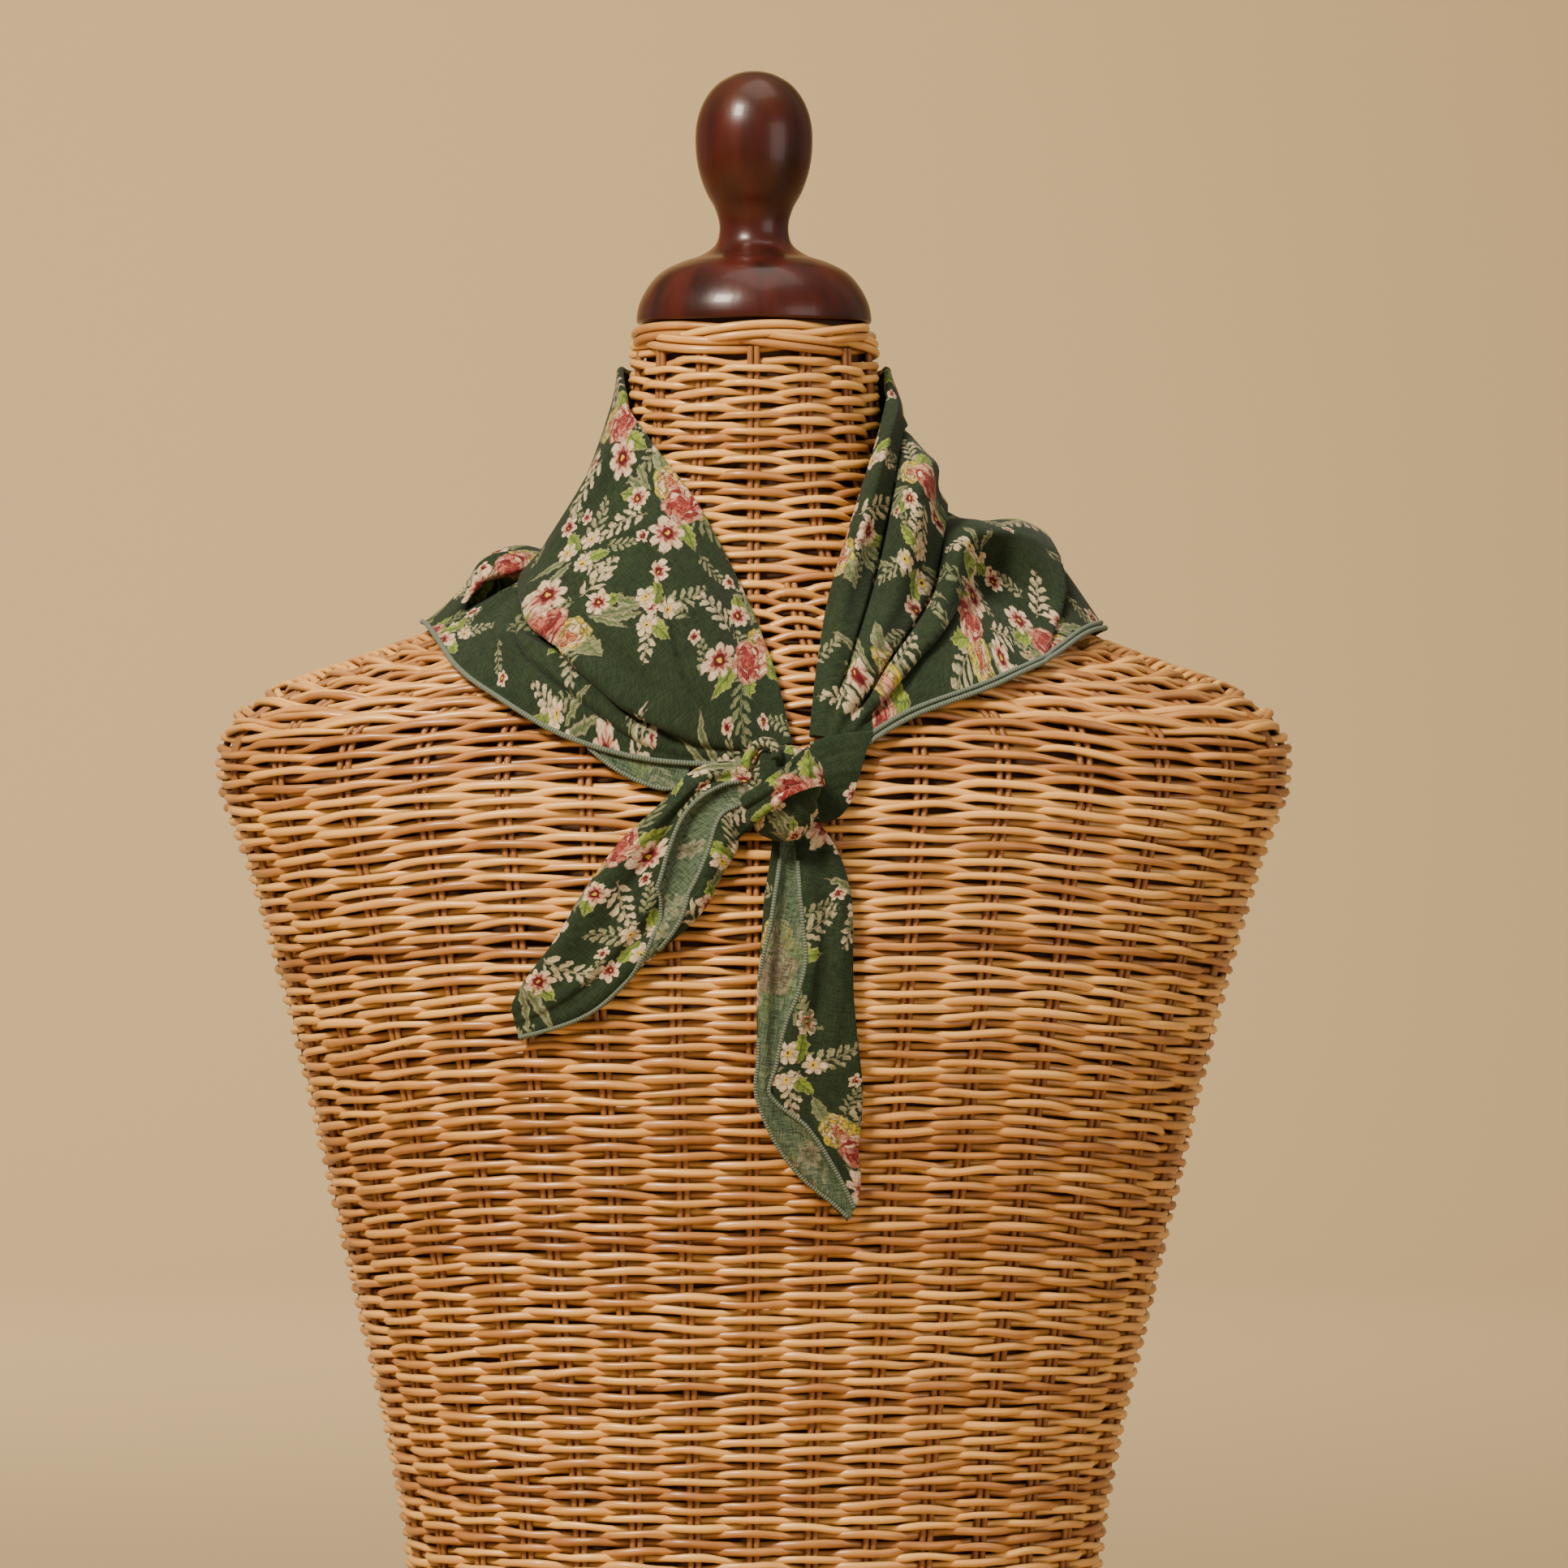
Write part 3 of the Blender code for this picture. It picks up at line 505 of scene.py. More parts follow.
    def leaf(self, under: Signal, place: Signal, slim: float, fresh: bool) -> Signal:
        """A pointed leaf along the first axis, from 0 to 1.

        Args:
            under: Colour beneath it.
            place: The motif's own coordinates.
            slim: Half width against its length.
            fresh: Lime rather than sage.

        Returns:
            The colour with it.
        """
        c, sheet = self.colors, self.sheet
        x, y, _ = sheet.parts(place)
        off = abs(y)
        inside = x.math("ADD", 0.0, clamp=True)
        swell = (inside ** 0.8 * math.pi).math("SINE")
        teeth = ((x * 26.0).math("SINE") * 0.12 + 1.0) * swell * slim
        vein = ((x - off * 0.9) * 30.0).math("SINE").above(0.5, 0.6)
        face, line = (c.lime, c.lime_dark) if fresh else (c.sage, c.moss)
        half = sheet.blend(y.above(0.0, 0.02) * 0.45, face, line)
        shade = sheet.blend((vein * 0.5).math("MAXIMUM", off.below(0.025, 0.03)), half, line)
        shade = sheet.blend((teeth - off).below(0.035, 0.05) * 0.4, shade, c.cream)
        return sheet.blend((teeth - off).above(0.02, 0.03), under, shade)

    def fern(self, under: Signal, place: Signal, pairs: float, tint: float) -> Signal:
        """A sprig with small oval leaves that take turns on both sides of its stem.

        Args:
            under: Colour beneath it.
            place: The motif's own coordinates, with the stem from 0 to 1.
            pairs: Leaves along each side.
            tint: How far it goes from moss to cream.

        Returns:
            The colour with it.
        """
        c, sheet = self.colors, self.sheet
        x, y, _ = sheet.parts(place)
        bent = y - (x * 2.6).math("SINE") * 0.1
        off = abs(bent)
        side = bent.above(0.0, 0.01)
        run = (x - off * 0.75) * pairs + side * 0.5
        cell = run.math("FRACT") - 0.5
        grown = (x.math("ADD", 0.0, clamp=True) * 2.6 + 0.5).math("SINE")
        reach = grown * 0.075 + 0.018
        oval = (cell * 3.1) ** 2.0 + ((off - reach - 0.015) / reach) ** 2.0
        leaves = oval.below(1.0, 0.5) * x.above(0.08, 0.05) * x.below(0.97, 0.05)
        stem = off.below(0.013, 0.02) * x.above(0.0, 0.02) * x.below(0.95, 0.02)
        tone = sheet.blend(run.math("FRACT").above(0.5, 0.5) * 0.45 + (tint * 0.5 - 0.1), c.sage,
                           c.cream)
        shade = sheet.blend(min(tint + 0.25, 1.0), c.moss, tone)
        return sheet.blend(leaves.math("MAXIMUM", stem * 0.7), under, shade)

    def ring_of(self, place: Signal, count: int, away: float, size: float) -> Signal:
        """Coordinates of one of several equal motifs that stand round a middle."""
        far, turn = self.polar(place)
        folded = turn.math("WRAP", math.pi / count, -math.pi / count)
        x = (far * folded.math("COSINE") - away) * (1 / size)
        y = far * folded.math("SINE") * (1 / size)
        return self.sheet.joined(x, y)

    def cell(self, place: Signal, pitch: float, shift: Pair,
             loose: float) -> Signal:
        """Flat coordinates round the nearest of many scattered middles, each turned its own way.

        Args:
            place: Flat coordinates in millimetres.
            pitch: Usual distance between the middles.
            shift: Where the first one stands.
            loose: How far they leave a square layout, from 0 to 1.

        Returns:
            The coordinates in millimetres.
        """
        sheet = self.sheet
        moved = sheet.vector("ADD", place, (shift[0], shift[1], 0.0))
        cells = sheet.node("TexVoronoi", {"voronoi_dimensions": "2D"}, {
            "Vector": moved, "Scale": 1.0 / pitch, "Randomness": loose})
        outputs = cells.socket.node.outputs
        middle = Signal(sheet, outputs["Position"])
        chance, _, _ = sheet.parts(Signal(sheet, outputs["Color"]))
        return sheet.node("VectorRotate", {"rotation_type": "Z_AXIS"}, {
            "Vector": sheet.vector("SUBTRACT", moved, middle), "Angle": chance * 6.283})


@dataclass(frozen=True)
class ClothFinish:
    """Light cotton with a scattered floral print; the wrong side shows it faintly."""

    colors: PrintColors = PrintColors()
    bouquet_pitch: float = 69.0
    looseness: float = 0.35
    unsteady: float = 3.0
    thread: Pair = (0.22, 1.8)
    contrast: float = 3.0
    fading: float = 0.78
    roughness: float = 0.9

    def bouquet(self, artist: FlowerArtist, under: Signal, place: Signal) -> Signal:
        """Roses, a daisy, leaves and sprigs round one middle."""
        paint = artist.draw(artist.fern, under, place, (
            (5, 9, 26, 66, 6, 0.6), (-9, 5, 26, 148, 6, 0.1), (3, -11, 24, -74, 5, 0.9)))
        paint = artist.draw(artist.leaf, paint, place, (
            (1, 9, 16, 104, 0.27, True), (-8, -1, 17, 192, 0.25, True),
            (9, -5, 16, -42, 0.27, True), (12, 5, 15, 24, 0.24, False),
            (-6, 6, 13, 150, 0.25, True), (12, -4, 24, -24, 0.10, False),
            (11, -3, 20, 2, 0.10, False)))
        paint = artist.draw(artist.daisy, paint, place, (
            (-11, -10, 9.0, 20, 7, True), (12, -10, 6.0, 60, 7, True)))
        return artist.draw(artist.rose, paint, place, (
            (8, 6, 8.6, 40, True), (-4, 4, 10.2, 10, False)))

    def sprays(self, artist: FlowerArtist, under: Signal, place: Signal) -> Signal:
        """Small flowers in threes with sprigs between them."""
        paint = artist.draw(artist.fern, under, place, (
            (0, 2, 23, 100, 6, 0.4), (-2, 0, 21, 215, 5, 0.9)))
        paint = artist.draw(artist.leaf, paint, place, (
            (1, 1, 14, 40, 0.26, True), (-4, -3, 12, 170, 0.26, True),
            (3, -2, 22, -30, 0.10, False), (2, -4, 19, -58, 0.11, False)))
        paint = artist.daisy(paint, artist.ring_of(place, 3, 6.6, 4.8), 6, False)
        return artist.draw(artist.daisy, paint, place, ((13, 12, 5.2, 0, 6, True),))

    def printed(self, sheet: ShaderSheet, flat: Signal, ground: Signal) -> Signal:
        """The whole print on its ground, with slightly unsteady outlines."""
        artist = FlowerArtist(sheet, self.colors)
        pitch = self.bouquet_pitch
        shake = sheet.node("TexNoise", None,
                           {"Vector": flat, "Scale": 0.42, "Detail": 2.0}, 1)
        shake = sheet.vector("SUBTRACT", shake, (0.5, 0.5, 0.5))
        flat = sheet.vector("ADD", flat, sheet.scaled(shake, self.unsteady))
        bud = artist.cell(flat, pitch / 2, (pitch / 4, pitch / 4), self.looseness)
        paint = artist.draw(artist.fern, ground, bud, ((-9, 0, 16, 5, 5, 0.3),))
        paint = artist.draw(artist.daisy, paint, bud, ((8, 1, 3.3, 0, 5, True),))
        spray = artist.cell(flat, pitch, (pitch / 2, pitch / 2), self.looseness)
        paint = self.sprays(artist, paint, spray)
        return self.bouquet(artist, paint, artist.cell(flat, pitch, (0.0, 0.0), self.looseness))

    def make(self, name: str, side: Side = Side.PRINTED) -> Material:
        """The cloth's material.

        Args:
            name: The material's name.
            side: The side that faces out where the mesh doesn't say.

        Returns:
            The material.
        """
        sheet = ShaderSheet(name)
        flat = sheet.scaled(sheet.node("UVMap", {"uv_map": "cloth_flat"}), 1 / MM)
        x, y, _ = sheet.parts(flat)
        long, fine = self.thread
        weft = sheet.noise(sheet.joined(x * long, y * fine))
        warp = sheet.noise(sheet.joined(x * fine, y * long))
        slub = (weft + warp) * 0.5
        worn = sheet.noise(flat, 0.05, 3.0)
        ground = sheet.blend((slub - 0.5) * self.contrast + worn * 0.8, self.colors.ground,
                             self.colors.ground_light)
        paint = self.printed(sheet, flat, ground)
        paint = sheet.blend(slub.below(0.46, 0.10) * 0.45, paint, self.colors.ground)
        wrong = sheet.node("Attribute", {"attribute_name": "wrong_side"}, None, 2)
        mottled = sheet.blend(slub.above(0.5, 0.25), self.colors.ground_light, self.colors.wrong)
        faded = sheet.blend(self.fading, paint, mottled)
        share = wrong if side is Side.PRINTED else wrong.math("MAXIMUM", side.value)
        sheet.set(Base_Color=sheet.blend(share.above(0.5, 0.1), paint, faded),
                  Roughness=self.roughness, Specular_IOR_Level=0.2, Sheen_Weight=0.06,
                  Sheen_Roughness=0.5)
        sheet.bump(slub, 0.0006, 0.7)
        return sheet.material


@dataclass(frozen=True)
class HemFinish:
    """The rolled hem with its overlocked threads."""

    light: Color = (0.21, 0.25, 0.18)
    dark: Color = (0.05, 0.072, 0.048)

    def make(self) -> Material:
        """The hem's material."""
        sheet = ShaderSheet("scarf_hem_look")
        along, _, around = sheet.strand()
        ribs = (along * 5.6 + around * 1.2).math("SINE") * 0.5 + 0.5
        speckle = sheet.noise(sheet.joined(along * 1.4, around * 1.5))
        sheet.set(Base_Color=sheet.blend(ribs * 0.45 + speckle * 0.6, self.dark, self.light),
                  Roughness=0.85, Specular_IOR_Level=0.25, Sheen_Weight=0.1)
        sheet.bump(ribs, 0.0005, 0.8)
        return sheet.material


@dataclass(frozen=True)
class PlainFinish:
    """One even colour."""

    name: str
    color: Color
    roughness: float = 0.8

    def make(self) -> Material:
        """The material."""
        sheet = ShaderSheet(self.name)
        sheet.set(Base_Color=self.color, Roughness=self.roughness)
        return sheet.material


class MeshMaker:
    """Turns arrays of points in millimetres into objects on the frame."""

    @staticmethod
    def add(name: str, points: Array, faces: Sequence[Any], material: Material,
            flat: Optional[Array] = None, data: Optional[dict[str, Array]] = None,
            sharp: Optional[float] = None) -> Piece:
        """A mesh object, shaded smooth.

        Args:
            name: Its name.
            points: Places in millimetres.
            faces: Corners of each face.
            material: Its finish.
            flat: Flat cloth coordinates of each point, in metres.
            data: Numbers or vectors for each point, by name.
            sharp: Angle in degrees above which an edge stays sharp.

        Returns:
            The object.
        """
        mesh = bpy.data.meshes.new(name)
        points = np.asarray(points, float).reshape(-1, 3)
        mesh.from_pydata(points * MM, [], faces)
        mesh.shade_smooth()
        if sharp is not None:
            mesh.set_sharp_from_angle(angle=math.radians(sharp))
        if flat is not None:
            corners = np.empty(len(mesh.loops), dtype=np.int32)
            mesh.loops.foreach_get("vertex_index", corners)
            layer = mesh.uv_layers.new(name="cloth_flat")
            layer.data.foreach_set("uv", flat.reshape(-1, 2)[corners].ravel())
        for label, values in (data or {}).items():
            values = np.asarray(values, np.float32)
            is_vector = values.ndim > 1
            kind = "FLOAT_VECTOR" if is_vector else "FLOAT"
            layer = mesh.attributes.new(label, kind, "POINT")
            layer.data.foreach_set("vector" if is_vector else "value", values.ravel())
        mesh.materials.append(material)
        made = bpy.data.objects.new(name, mesh)
        bpy.context.scene.collection.objects.link(made)
        return made

    @staticmethod
    def tubes(name: str, middles: Array, outward: Array, reach: Array, closed: bool, sides: int,
              material: Material, tone: Optional[Array] = None, capped: bool = False) -> Piece:
        """Tubes of oval section along many lines of equal count.

        Args:
            name: Its name.
            middles: Middle lines, as lines by points by 3.
            outward: Direction of the section's first axis at each point.
            reach: Half sizes of the section, out and across, at each point.
            closed: Whether each line is a loop.
            sides: Corners of the section.
            material: Its finish.
            tone: Each line's tone, for a material that reads the strands.
            capped: Whether the one line's ends are closed.

        Returns:
            One object of all tubes.
        """
        if closed:
            forward = np.roll(middles, -1, axis=1) - np.roll(middles, 1, axis=1)
        else:
            forward = np.gradient(middles, axis=1)
        across = unit(np.cross(unit(forward), outward))
        outward = unit(np.cross(across, unit(forward)))
        turn = circle(sides)
        points = (middles[:, :, None]
                  + (reach[..., 0, None] * np.cos(turn))[..., None] * outward[:, :, None]
                  + (reach[..., 1, None] * np.sin(turn))[..., None] * across[:, :, None])
        lines, count = middles.shape[:2]
        index = np.arange(lines * count * sides).reshape(lines, count, sides)
        beyond = np.roll(index, -1, axis=1) if closed else index[:, 1:]
        start = index if closed else index[:, :-1]
        faces = np.stack([start, np.roll(start, -1, axis=2), np.roll(beyond, -1, axis=2),
                          beyond], axis=-1).reshape(-1, 4).tolist()
        if capped:
            faces += [index[0, 0, ::-1].tolist(), index[0, -1].tolist()]
        data = None
        if tone is not None:
            around = np.abs(np.linspace(-1, 1, sides, endpoint=False))
            strand = np.broadcast_arrays(run_across(middles)[..., None], tone[:, None, None],
                                         around)
            data = {"strand": np.stack(strand, axis=-1).reshape(-1, 3)}
        return MeshMaker.add(name, points, faces, material, data=data)

    @staticmethod
    def body(name: str, rings: Array, material: Material,
             sharp: Optional[float] = 50, flat: Optional[Array] = None,
             data: Optional[dict[str, Array]] = None) -> Piece:
        """A closed body through rings of equal count.

        Args:
            name: Its name.
            rings: Rings by points by 3.
            material: Its finish.
            sharp: Angle above which an edge stays sharp.
            flat: Flat coordinates of each ring's points, in metres.
            data: Further numbers for each ring's points.

        Returns:
            The object.
        """
        count, sides = rings.shape[:2]
        index = np.arange(count * sides).reshape(count, sides)
        after = np.roll(index, -1, axis=1)
        quads = np.stack([index[:-1], after[:-1], after[1:], index[1:]], -1).reshape(-1, 4)
        faces = quads.tolist() + [index[0, ::-1].tolist(), index[-1].tolist()]
        return MeshMaker.add(name, rings, faces, material, flat=flat, data=data, sharp=sharp)


@dataclass(frozen=True)
class FormSizes:
    """Sizes of the dress form, in millimetres."""

    sections: tuple[tuple[float, ...], ...] = (
        (0, 164, 112, 116, 2.2), (60, 156, 107, 112, 2.2), (125, 137, 94, 92, 2.2),
        (165, 136, 88, 83, 2.2), (207, 142, 90, 80, 2.2), (252, 152, 94, 82, 2.2),
        (317, 167, 103, 88, 2.2), (384, 183, 112, 97, 2.2), (440, 199, 107, 102, 2.2),
        (472, 209.5, 100, 100, 2.3), (484, 209.5, 96, 97, 2.3), (494, 206, 92, 93, 2.3),
        (502, 198, 88, 89, 2.2), (508, 187, 84.5, 85.5, 2.1), (515, 167, 80, 80, 2.0),
        (522, 147, 75, 74, 2.0), (530, 125, 69.5, 68, 2.0), (538, 106, 64.5, 62.5, 2.0),
        (548, 88, 59.5, 57.5, 2.0), (562, 70, 55, 53.5, 2.0), (580, 58.5, 52, 51, 2.0),
        (602, 52, 50.3, 49.8, 2.0), (634.5, 49.3, 49, 49, 2.0))
    body_pairs: int = 32
    neck_pairs: int = 14
    pitch: float = 2.95
    level_top: float = 498.0
    neck_from: float = 548.0
    shoulder_rows: int = 37
    top: float = 634.0
    weaver: Pair = (1.5, 1.72)
    stake: float = 1.3
    stake_gap: float = 1.4
    swing: float = 2.0
    arch: float = 0.4
    skin: float = 0.1
    droop: float = 13.0
    steps: int = 6
    rod_sides: int = 6
    thickness: Pair = (0.92, 1.07)
    bulge: Pair = (0.10, 0.12)
    stray: float = 0.42
    foot: float = 7.5
    droop_heights: Pair = (170, 330)
    droop_across: Pair = (80, 215)
    stake_points: tuple[int, int, int] = (56, 10, 12)
    short_span: Pair = (52.0, 26.0)
    short_points: int = 49
    short_tuck: float = 3.2
    wrap_ends: Pair = (96.0, 186.0)
    wrap_pitch: float = 3.7
    wrap_reach: float = 12.0
    wrap_slant: float = 8.0
    wrap_tuck: float = 3.6
    wrap_points: int = 13
    ridge_heights: Pair = (470.0, 560.0)
    board: Path = (
        (8.0, 0.2), (2.0, 0.2), (1.0, 1.2), (1.0, 5.0), (2.0, 6.0), (8.0, 6.0))
    shade_sheet_depth: float = 7.4
    shade_sheet_foot: float = 1.5
    plug: float = 42.0
    plug_rises: Pair = (5.0, 15.0)
    ring_sides: int = 96


class FormShape:
    """The dress form's outer surface."""

    NUDGE = 0.2
    ROUNDS = 5
    SOFTNESS = 1.5
    NEAR = 3
    FURTHEST = 12

    def __init__(self, sizes: FormSizes) -> None:
        """Keeps the sections."""
        self.table = np.array(sizes.sections, float)

    def sizes_at(self, height: Array) -> list[Array]:
        """Half width, front depth, back depth and squareness at each height."""
        height = np.clip(np.asarray(height, float), self.table[0, 0], self.table[-1, 0])
        flat = smooth(self.table[:, 1:], self.table[:, 0], height.ravel())
        return [column.reshape(height.shape) for column in flat.T]

    def radius(self, angle: Array, height: Array) -> Array:
        """Distance from the neck's axis, at an angle from the front towards -X."""
        half_width, front, back, power = self.sizes_at(height)
        depth = np.where(np.cos(angle) > 0, front, back)
        across = np.abs(np.sin(angle) / half_width) ** power
        along = np.abs(np.cos(angle) / depth) ** power
        return (across + along) ** (-1 / power)

    def place(self, angle: Array, height: Array) -> Array:
        """Points of the surface."""
        radius = self.radius(angle, height)
        return np.stack([-radius * np.sin(angle), -radius * np.cos(angle), height], axis=-1)

    def front(self, x: Array, z: Array) -> Array:
        """How far the front stands forward at a place seen from the front."""
        half_width, front, _, power = self.sizes_at(z)
        return front * np.clip(1 - np.abs(x / half_width) ** power, 0, 1) ** (1 / power)

    def off(self, points: Array) -> tuple[Array, Array]:
        """Distance of each point from the surface, and the way straight out."""
        def level(p: Array) -> Array:
            """Distance outside the surface, measured level."""
            angle = np.arctan2(-p[..., 0], -p[..., 1])
            return np.hypot(p[..., 0], p[..., 1]) - self.radius(angle, p[..., 2])

        here, nudge = level(points), self.NUDGE
        way = np.stack([level(points + nudge * axis) - level(points - nudge * axis)
                        for axis in np.eye(3)], axis=-1) / (2 * nudge)
        steep = np.linalg.norm(way, axis=-1)
        return here / steep, way / steep[..., None]

    def clear(self, points: Array, least: float) -> Array:
        """Points moved straight out until each is at least so far off the surface."""
        for _ in range(self.ROUNDS):
            off, way = self.off(points)
            wanted = least + np.logaddexp(0, (off - least) * self.SOFTNESS) / self.SOFTNESS
            move = np.where(off < least + self.NEAR, wanted - off, 0)
            points = points + way * np.clip(move, 0, self.FURTHEST)[..., None]
        off, way = self.off(points)
        return points + way * np.clip(least - off, 0, None)[..., None]


@dataclass
class DressForm:
    """Woven torso and neck, with the base board and a dark inner sheet of painted shade."""

    sizes: FormSizes
    shape: FormShape
    cane: Material
    stake: Material
    wood: Material
    # Painted shade: the dark finish of the sheet inside the weave.
    core: Material

    def __post_init__(self) -> None:
        """Starts the row of random draws."""
        self.chance = np.random.default_rng(11)

    def row_angles(self, heights: Array, samples: int) -> Array:
        """Angles that divide each level row evenly by length, from the back round."""
        fine = np.linspace(-math.pi, math.pi, 721)
        angles = []
        for height in heights:
            line = self.shape.place(fine, np.full(len(fine), height))
            run = run_along(line)
            angles.append(np.interp(np.arange(samples) / samples * run[-1], run, fine))
        return np.array(angles)

    def drooped(self, angles: Array, heights: Array) -> Array:
        """Heights along each row, lower towards the shoulders' tips."""
        level = np.broadcast_to(heights[:, None], angles.shape)
        depth = self.sizes.droop * soft_step(heights, *self.sizes.droop_heights)
        here = level
        for _ in range(8):
            across = np.abs(self.shape.place(angles, here)[..., 0])
            here = level - depth[:, None] * soft_step(across, *self.sizes.droop_across)
        return here

    def shoulder_heights(self, angles: Array, shares: Array) -> Array:
        """Heights of rows that part the shoulders evenly by length up the slope.

        Args:
            angles: Angle of each point, one row for each share.
            shares: Place of each row between the level rows and the neck.

        Returns:
            Heights, rows by points.
        """
        size = self.sizes
        start = self.drooped(angles, np.full(len(shares), size.level_top))
        steps = np.linspace(0, 1, 31)
        heights = []
        for angle, low, share in zip(angles, start, shares):
            level = low + (size.neck_from - low) * steps[:, None]
            line = self.shape.place(np.broadcast_to(angle, level.shape), level)
            run = np.cumsum(np.linalg.norm(np.diff(line, axis=0, prepend=line[:1]), axis=-1), 0)
            heights.append([np.interp(share * column[-1], column, level[:, point])
                            for point, column in enumerate(run.T)])
        return np.array(heights)

    def field(self, heights: Array, shares: Array, samples: int) -> tuple[Array, Array]:
        """Angles and heights of level rows and of the shoulder rows above them."""
        size = self.sizes
        angles = self.row_angles(heights, samples)
        levels = self.drooped(angles, heights)
        if not len(shares):
            return angles, levels
        low, high = self.row_angles(np.array([size.level_top, size.neck_from]), samples)
        upper = low + (high - low) * shares[:, None]
        return (np.concatenate([angles, upper]),
                np.concatenate([levels, self.shoulder_heights(upper, shares)]))

    @staticmethod
    def wave(turn: Array) -> Array:
        """A wave between -1 and 1 that lingers at both ends."""
        hold = 1.4
        return np.tanh(hold * np.cos(turn)) / math.tanh(hold)

    def woven(self, angles: Array, level: Array, wave: Array,
              dip: Any = 0.0) -> tuple[Array, Array]:
        """Middle lines of weavers and the way out at each point.

        Args:
            angles: Angle of each point.
            level: Height of each point.
            wave: 1 where the weaver passes in front of the stakes and -1 behind them.
            dip: Extra depth.

        Returns:
            Lines by points by 3, twice.
        """
        size = self.sizes
        surface = self.shape.place(angles, level)
        outward = self.shape.off(surface)[1]
        upward = unit(UPRIGHT - outward * outward[..., 2:])
        sink = size.skin + size.weaver[0] + size.swing * (1 - wave) + dip
        stray = self.chance.normal(0, size.stray, wave.shape)
        for _ in range(3):
            stray = evened(stray, 2.2)
        lift = size.arch * wave + stray
        return surface - outward * sink[..., None] + upward * lift[..., None], outward

    def tubes(self, name: str, middles: Array, outward: Array, closed: bool) -> Piece:
        """One object of weavers, each with its own thickness and tone."""
        size, count = self.sizes, len(middles)
        spread, most = size.bulge
        thick = self.chance.uniform(*size.thickness, (count, 1, 1))
        bulge = evened(self.chance.normal(0, spread, (count, middles.shape[1], 1)), 2.0)
        reach = np.array(size.weaver) * thick * (1 + np.clip(bulge, -most, most))
        return MeshMaker.tubes(name, middles, outward, reach, closed, size.rod_sides,
                               self.cane, self.chance.uniform(0, 1, count))

    def weavers(self, name: str, heights: Array, shares: Array, pairs: int,
                first: int) -> Piece:
        """Closed weaver rows between two heights."""
        samples = pairs * self.sizes.steps
        angles, level = self.field(heights, shares, samples)
        phase = (np.arange(len(angles)) + first) % 2
        turn = np.arange(samples) / self.sizes.steps * math.pi
        wave = self.wave(turn[None] + phase[:, None] * math.pi)
        return self.tubes(name, *self.woven(angles, level, wave), True)

    def short_rows(self, shares: Array) -> Piece:
        """Short weavers that fill the shoulders, where the full rows lie far apart."""
        lowest, less = self.sizes.short_span
        span = np.linspace(-1, 1, self.sizes.short_points)[None]
        row = np.arange(len(shares))[:, None]
        wave = self.wave(span * 6 * math.pi + row * math.pi) * 0.7
        ends = self.sizes.short_tuck * soft_step(np.abs(span), 0.86, 1.0)
        made = []
        for side in (-1, 1):
            angles = side * np.radians(90 + span * (lowest - less * shares)[:, None])
            level = self.shoulder_heights(angles, shares)
            made.append(self.woven(angles, level, wave, ends))
        middles, outward = (np.concatenate(parts) for parts in zip(*made))
        return self.tubes("weave_shoulder_rows", middles, outward, False)

    def ridge_wraps(self) -> Piece:
        """Short rods laid slantwise over the shoulders' ridge, side by side."""
        size = self.sizes
        across = np.arange(*size.wrap_ends, size.wrap_pitch)[:, None]
        span = np.linspace(-1, 1, size.wrap_points)[None]
        made = []
        for side in (-1, 1):
            x = side * (across + size.wrap_slant * span)
            y = np.broadcast_to(span * size.wrap_reach, x.shape)
            low, high = (np.full(x.shape, height) for height in size.ridge_heights)
            for _ in range(24):
                z = (low + high) / 2
                inside = np.hypot(x, y) < self.shape.radius(np.arctan2(-x, -y), z)
                low, high = np.where(inside, z, low), np.where(inside, high, z)
            line = np.stack([x, y, (low + high) / 2], axis=-1)
            way = self.shape.off(line)[1]
            sink = size.weaver[0] * 0.7 + size.wrap_tuck * soft_step(np.abs(span), 0.4, 1.0)
            made.append((line - way * sink[..., None], way))
        middles, outward = (np.concatenate(parts) for parts in zip(*made))
        return self.tubes("weave_ridge_wraps", middles, outward, False)

    def stakes(self, name: str, heights: Array, shares: Array, pairs: int) -> Piece:
        """Pairs of upright stakes between two heights."""
        size = self.sizes
        angles, level = self.field(heights, shares, pairs)
        radius = self.shape.radius(angles, level)
        surface = np.concatenate([
            self.shape.place(angles + side * size.stake_gap / radius, level).transpose(1, 0, 2)
            for side in (-1, 1)])
        outward = self.shape.off(surface)[1]
        middles = surface - outward * (size.skin + size.weaver[0] + size.swing)
        reach = np.full((*middles.shape[:2], 2), size.stake)
        return MeshMaker.tubes(name, middles, outward, reach, False, size.rod_sides, self.stake)

    def level_rings(self, heights: Sequence[float]) -> list[Array]:
        """Level rings of the surface."""
        angle = np.linspace(-math.pi, math.pi, self.sizes.ring_sides, endpoint=False)
        return [self.shape.place(angle, np.full(len(angle), height)) for height in heights]

    def base_board(self) -> Piece:
        """A thin board that closes the open lower end."""
        insets, heights = zip(*self.sizes.board)
        rings = [line - unit(line * LEVEL) * inset
                 for line, inset in zip(self.level_rings(heights), insets)]
        return MeshMaker.body("form_base_board", np.array(rings), self.wood)

    def inner_shade_sheet(self) -> Piece:
        """A dark surface behind the weave, so that no light comes through: painted shade that
        stands in for the dark inside of the hollow form.
        """
        size = self.sizes
        rings = np.array([line - self.shape.off(line)[1] * size.shade_sheet_depth for line in
                          self.level_rings((size.shade_sheet_foot, *np.linspace(8, size.top, 90)))])
        rings[..., 2] = np.clip(rings[..., 2], size.shade_sheet_foot, size.top)
        wide = rings[-1] / np.linalg.norm(rings[-1, :, :2], axis=-1, keepdims=True)
        plug = [wide * LEVEL * size.plug + UPRIGHT * (size.top + rise)
                for rise in size.plug_rises]
        return MeshMaker.body("form_inner_shade", np.concatenate([rings, plug]), self.core, sharp=None)

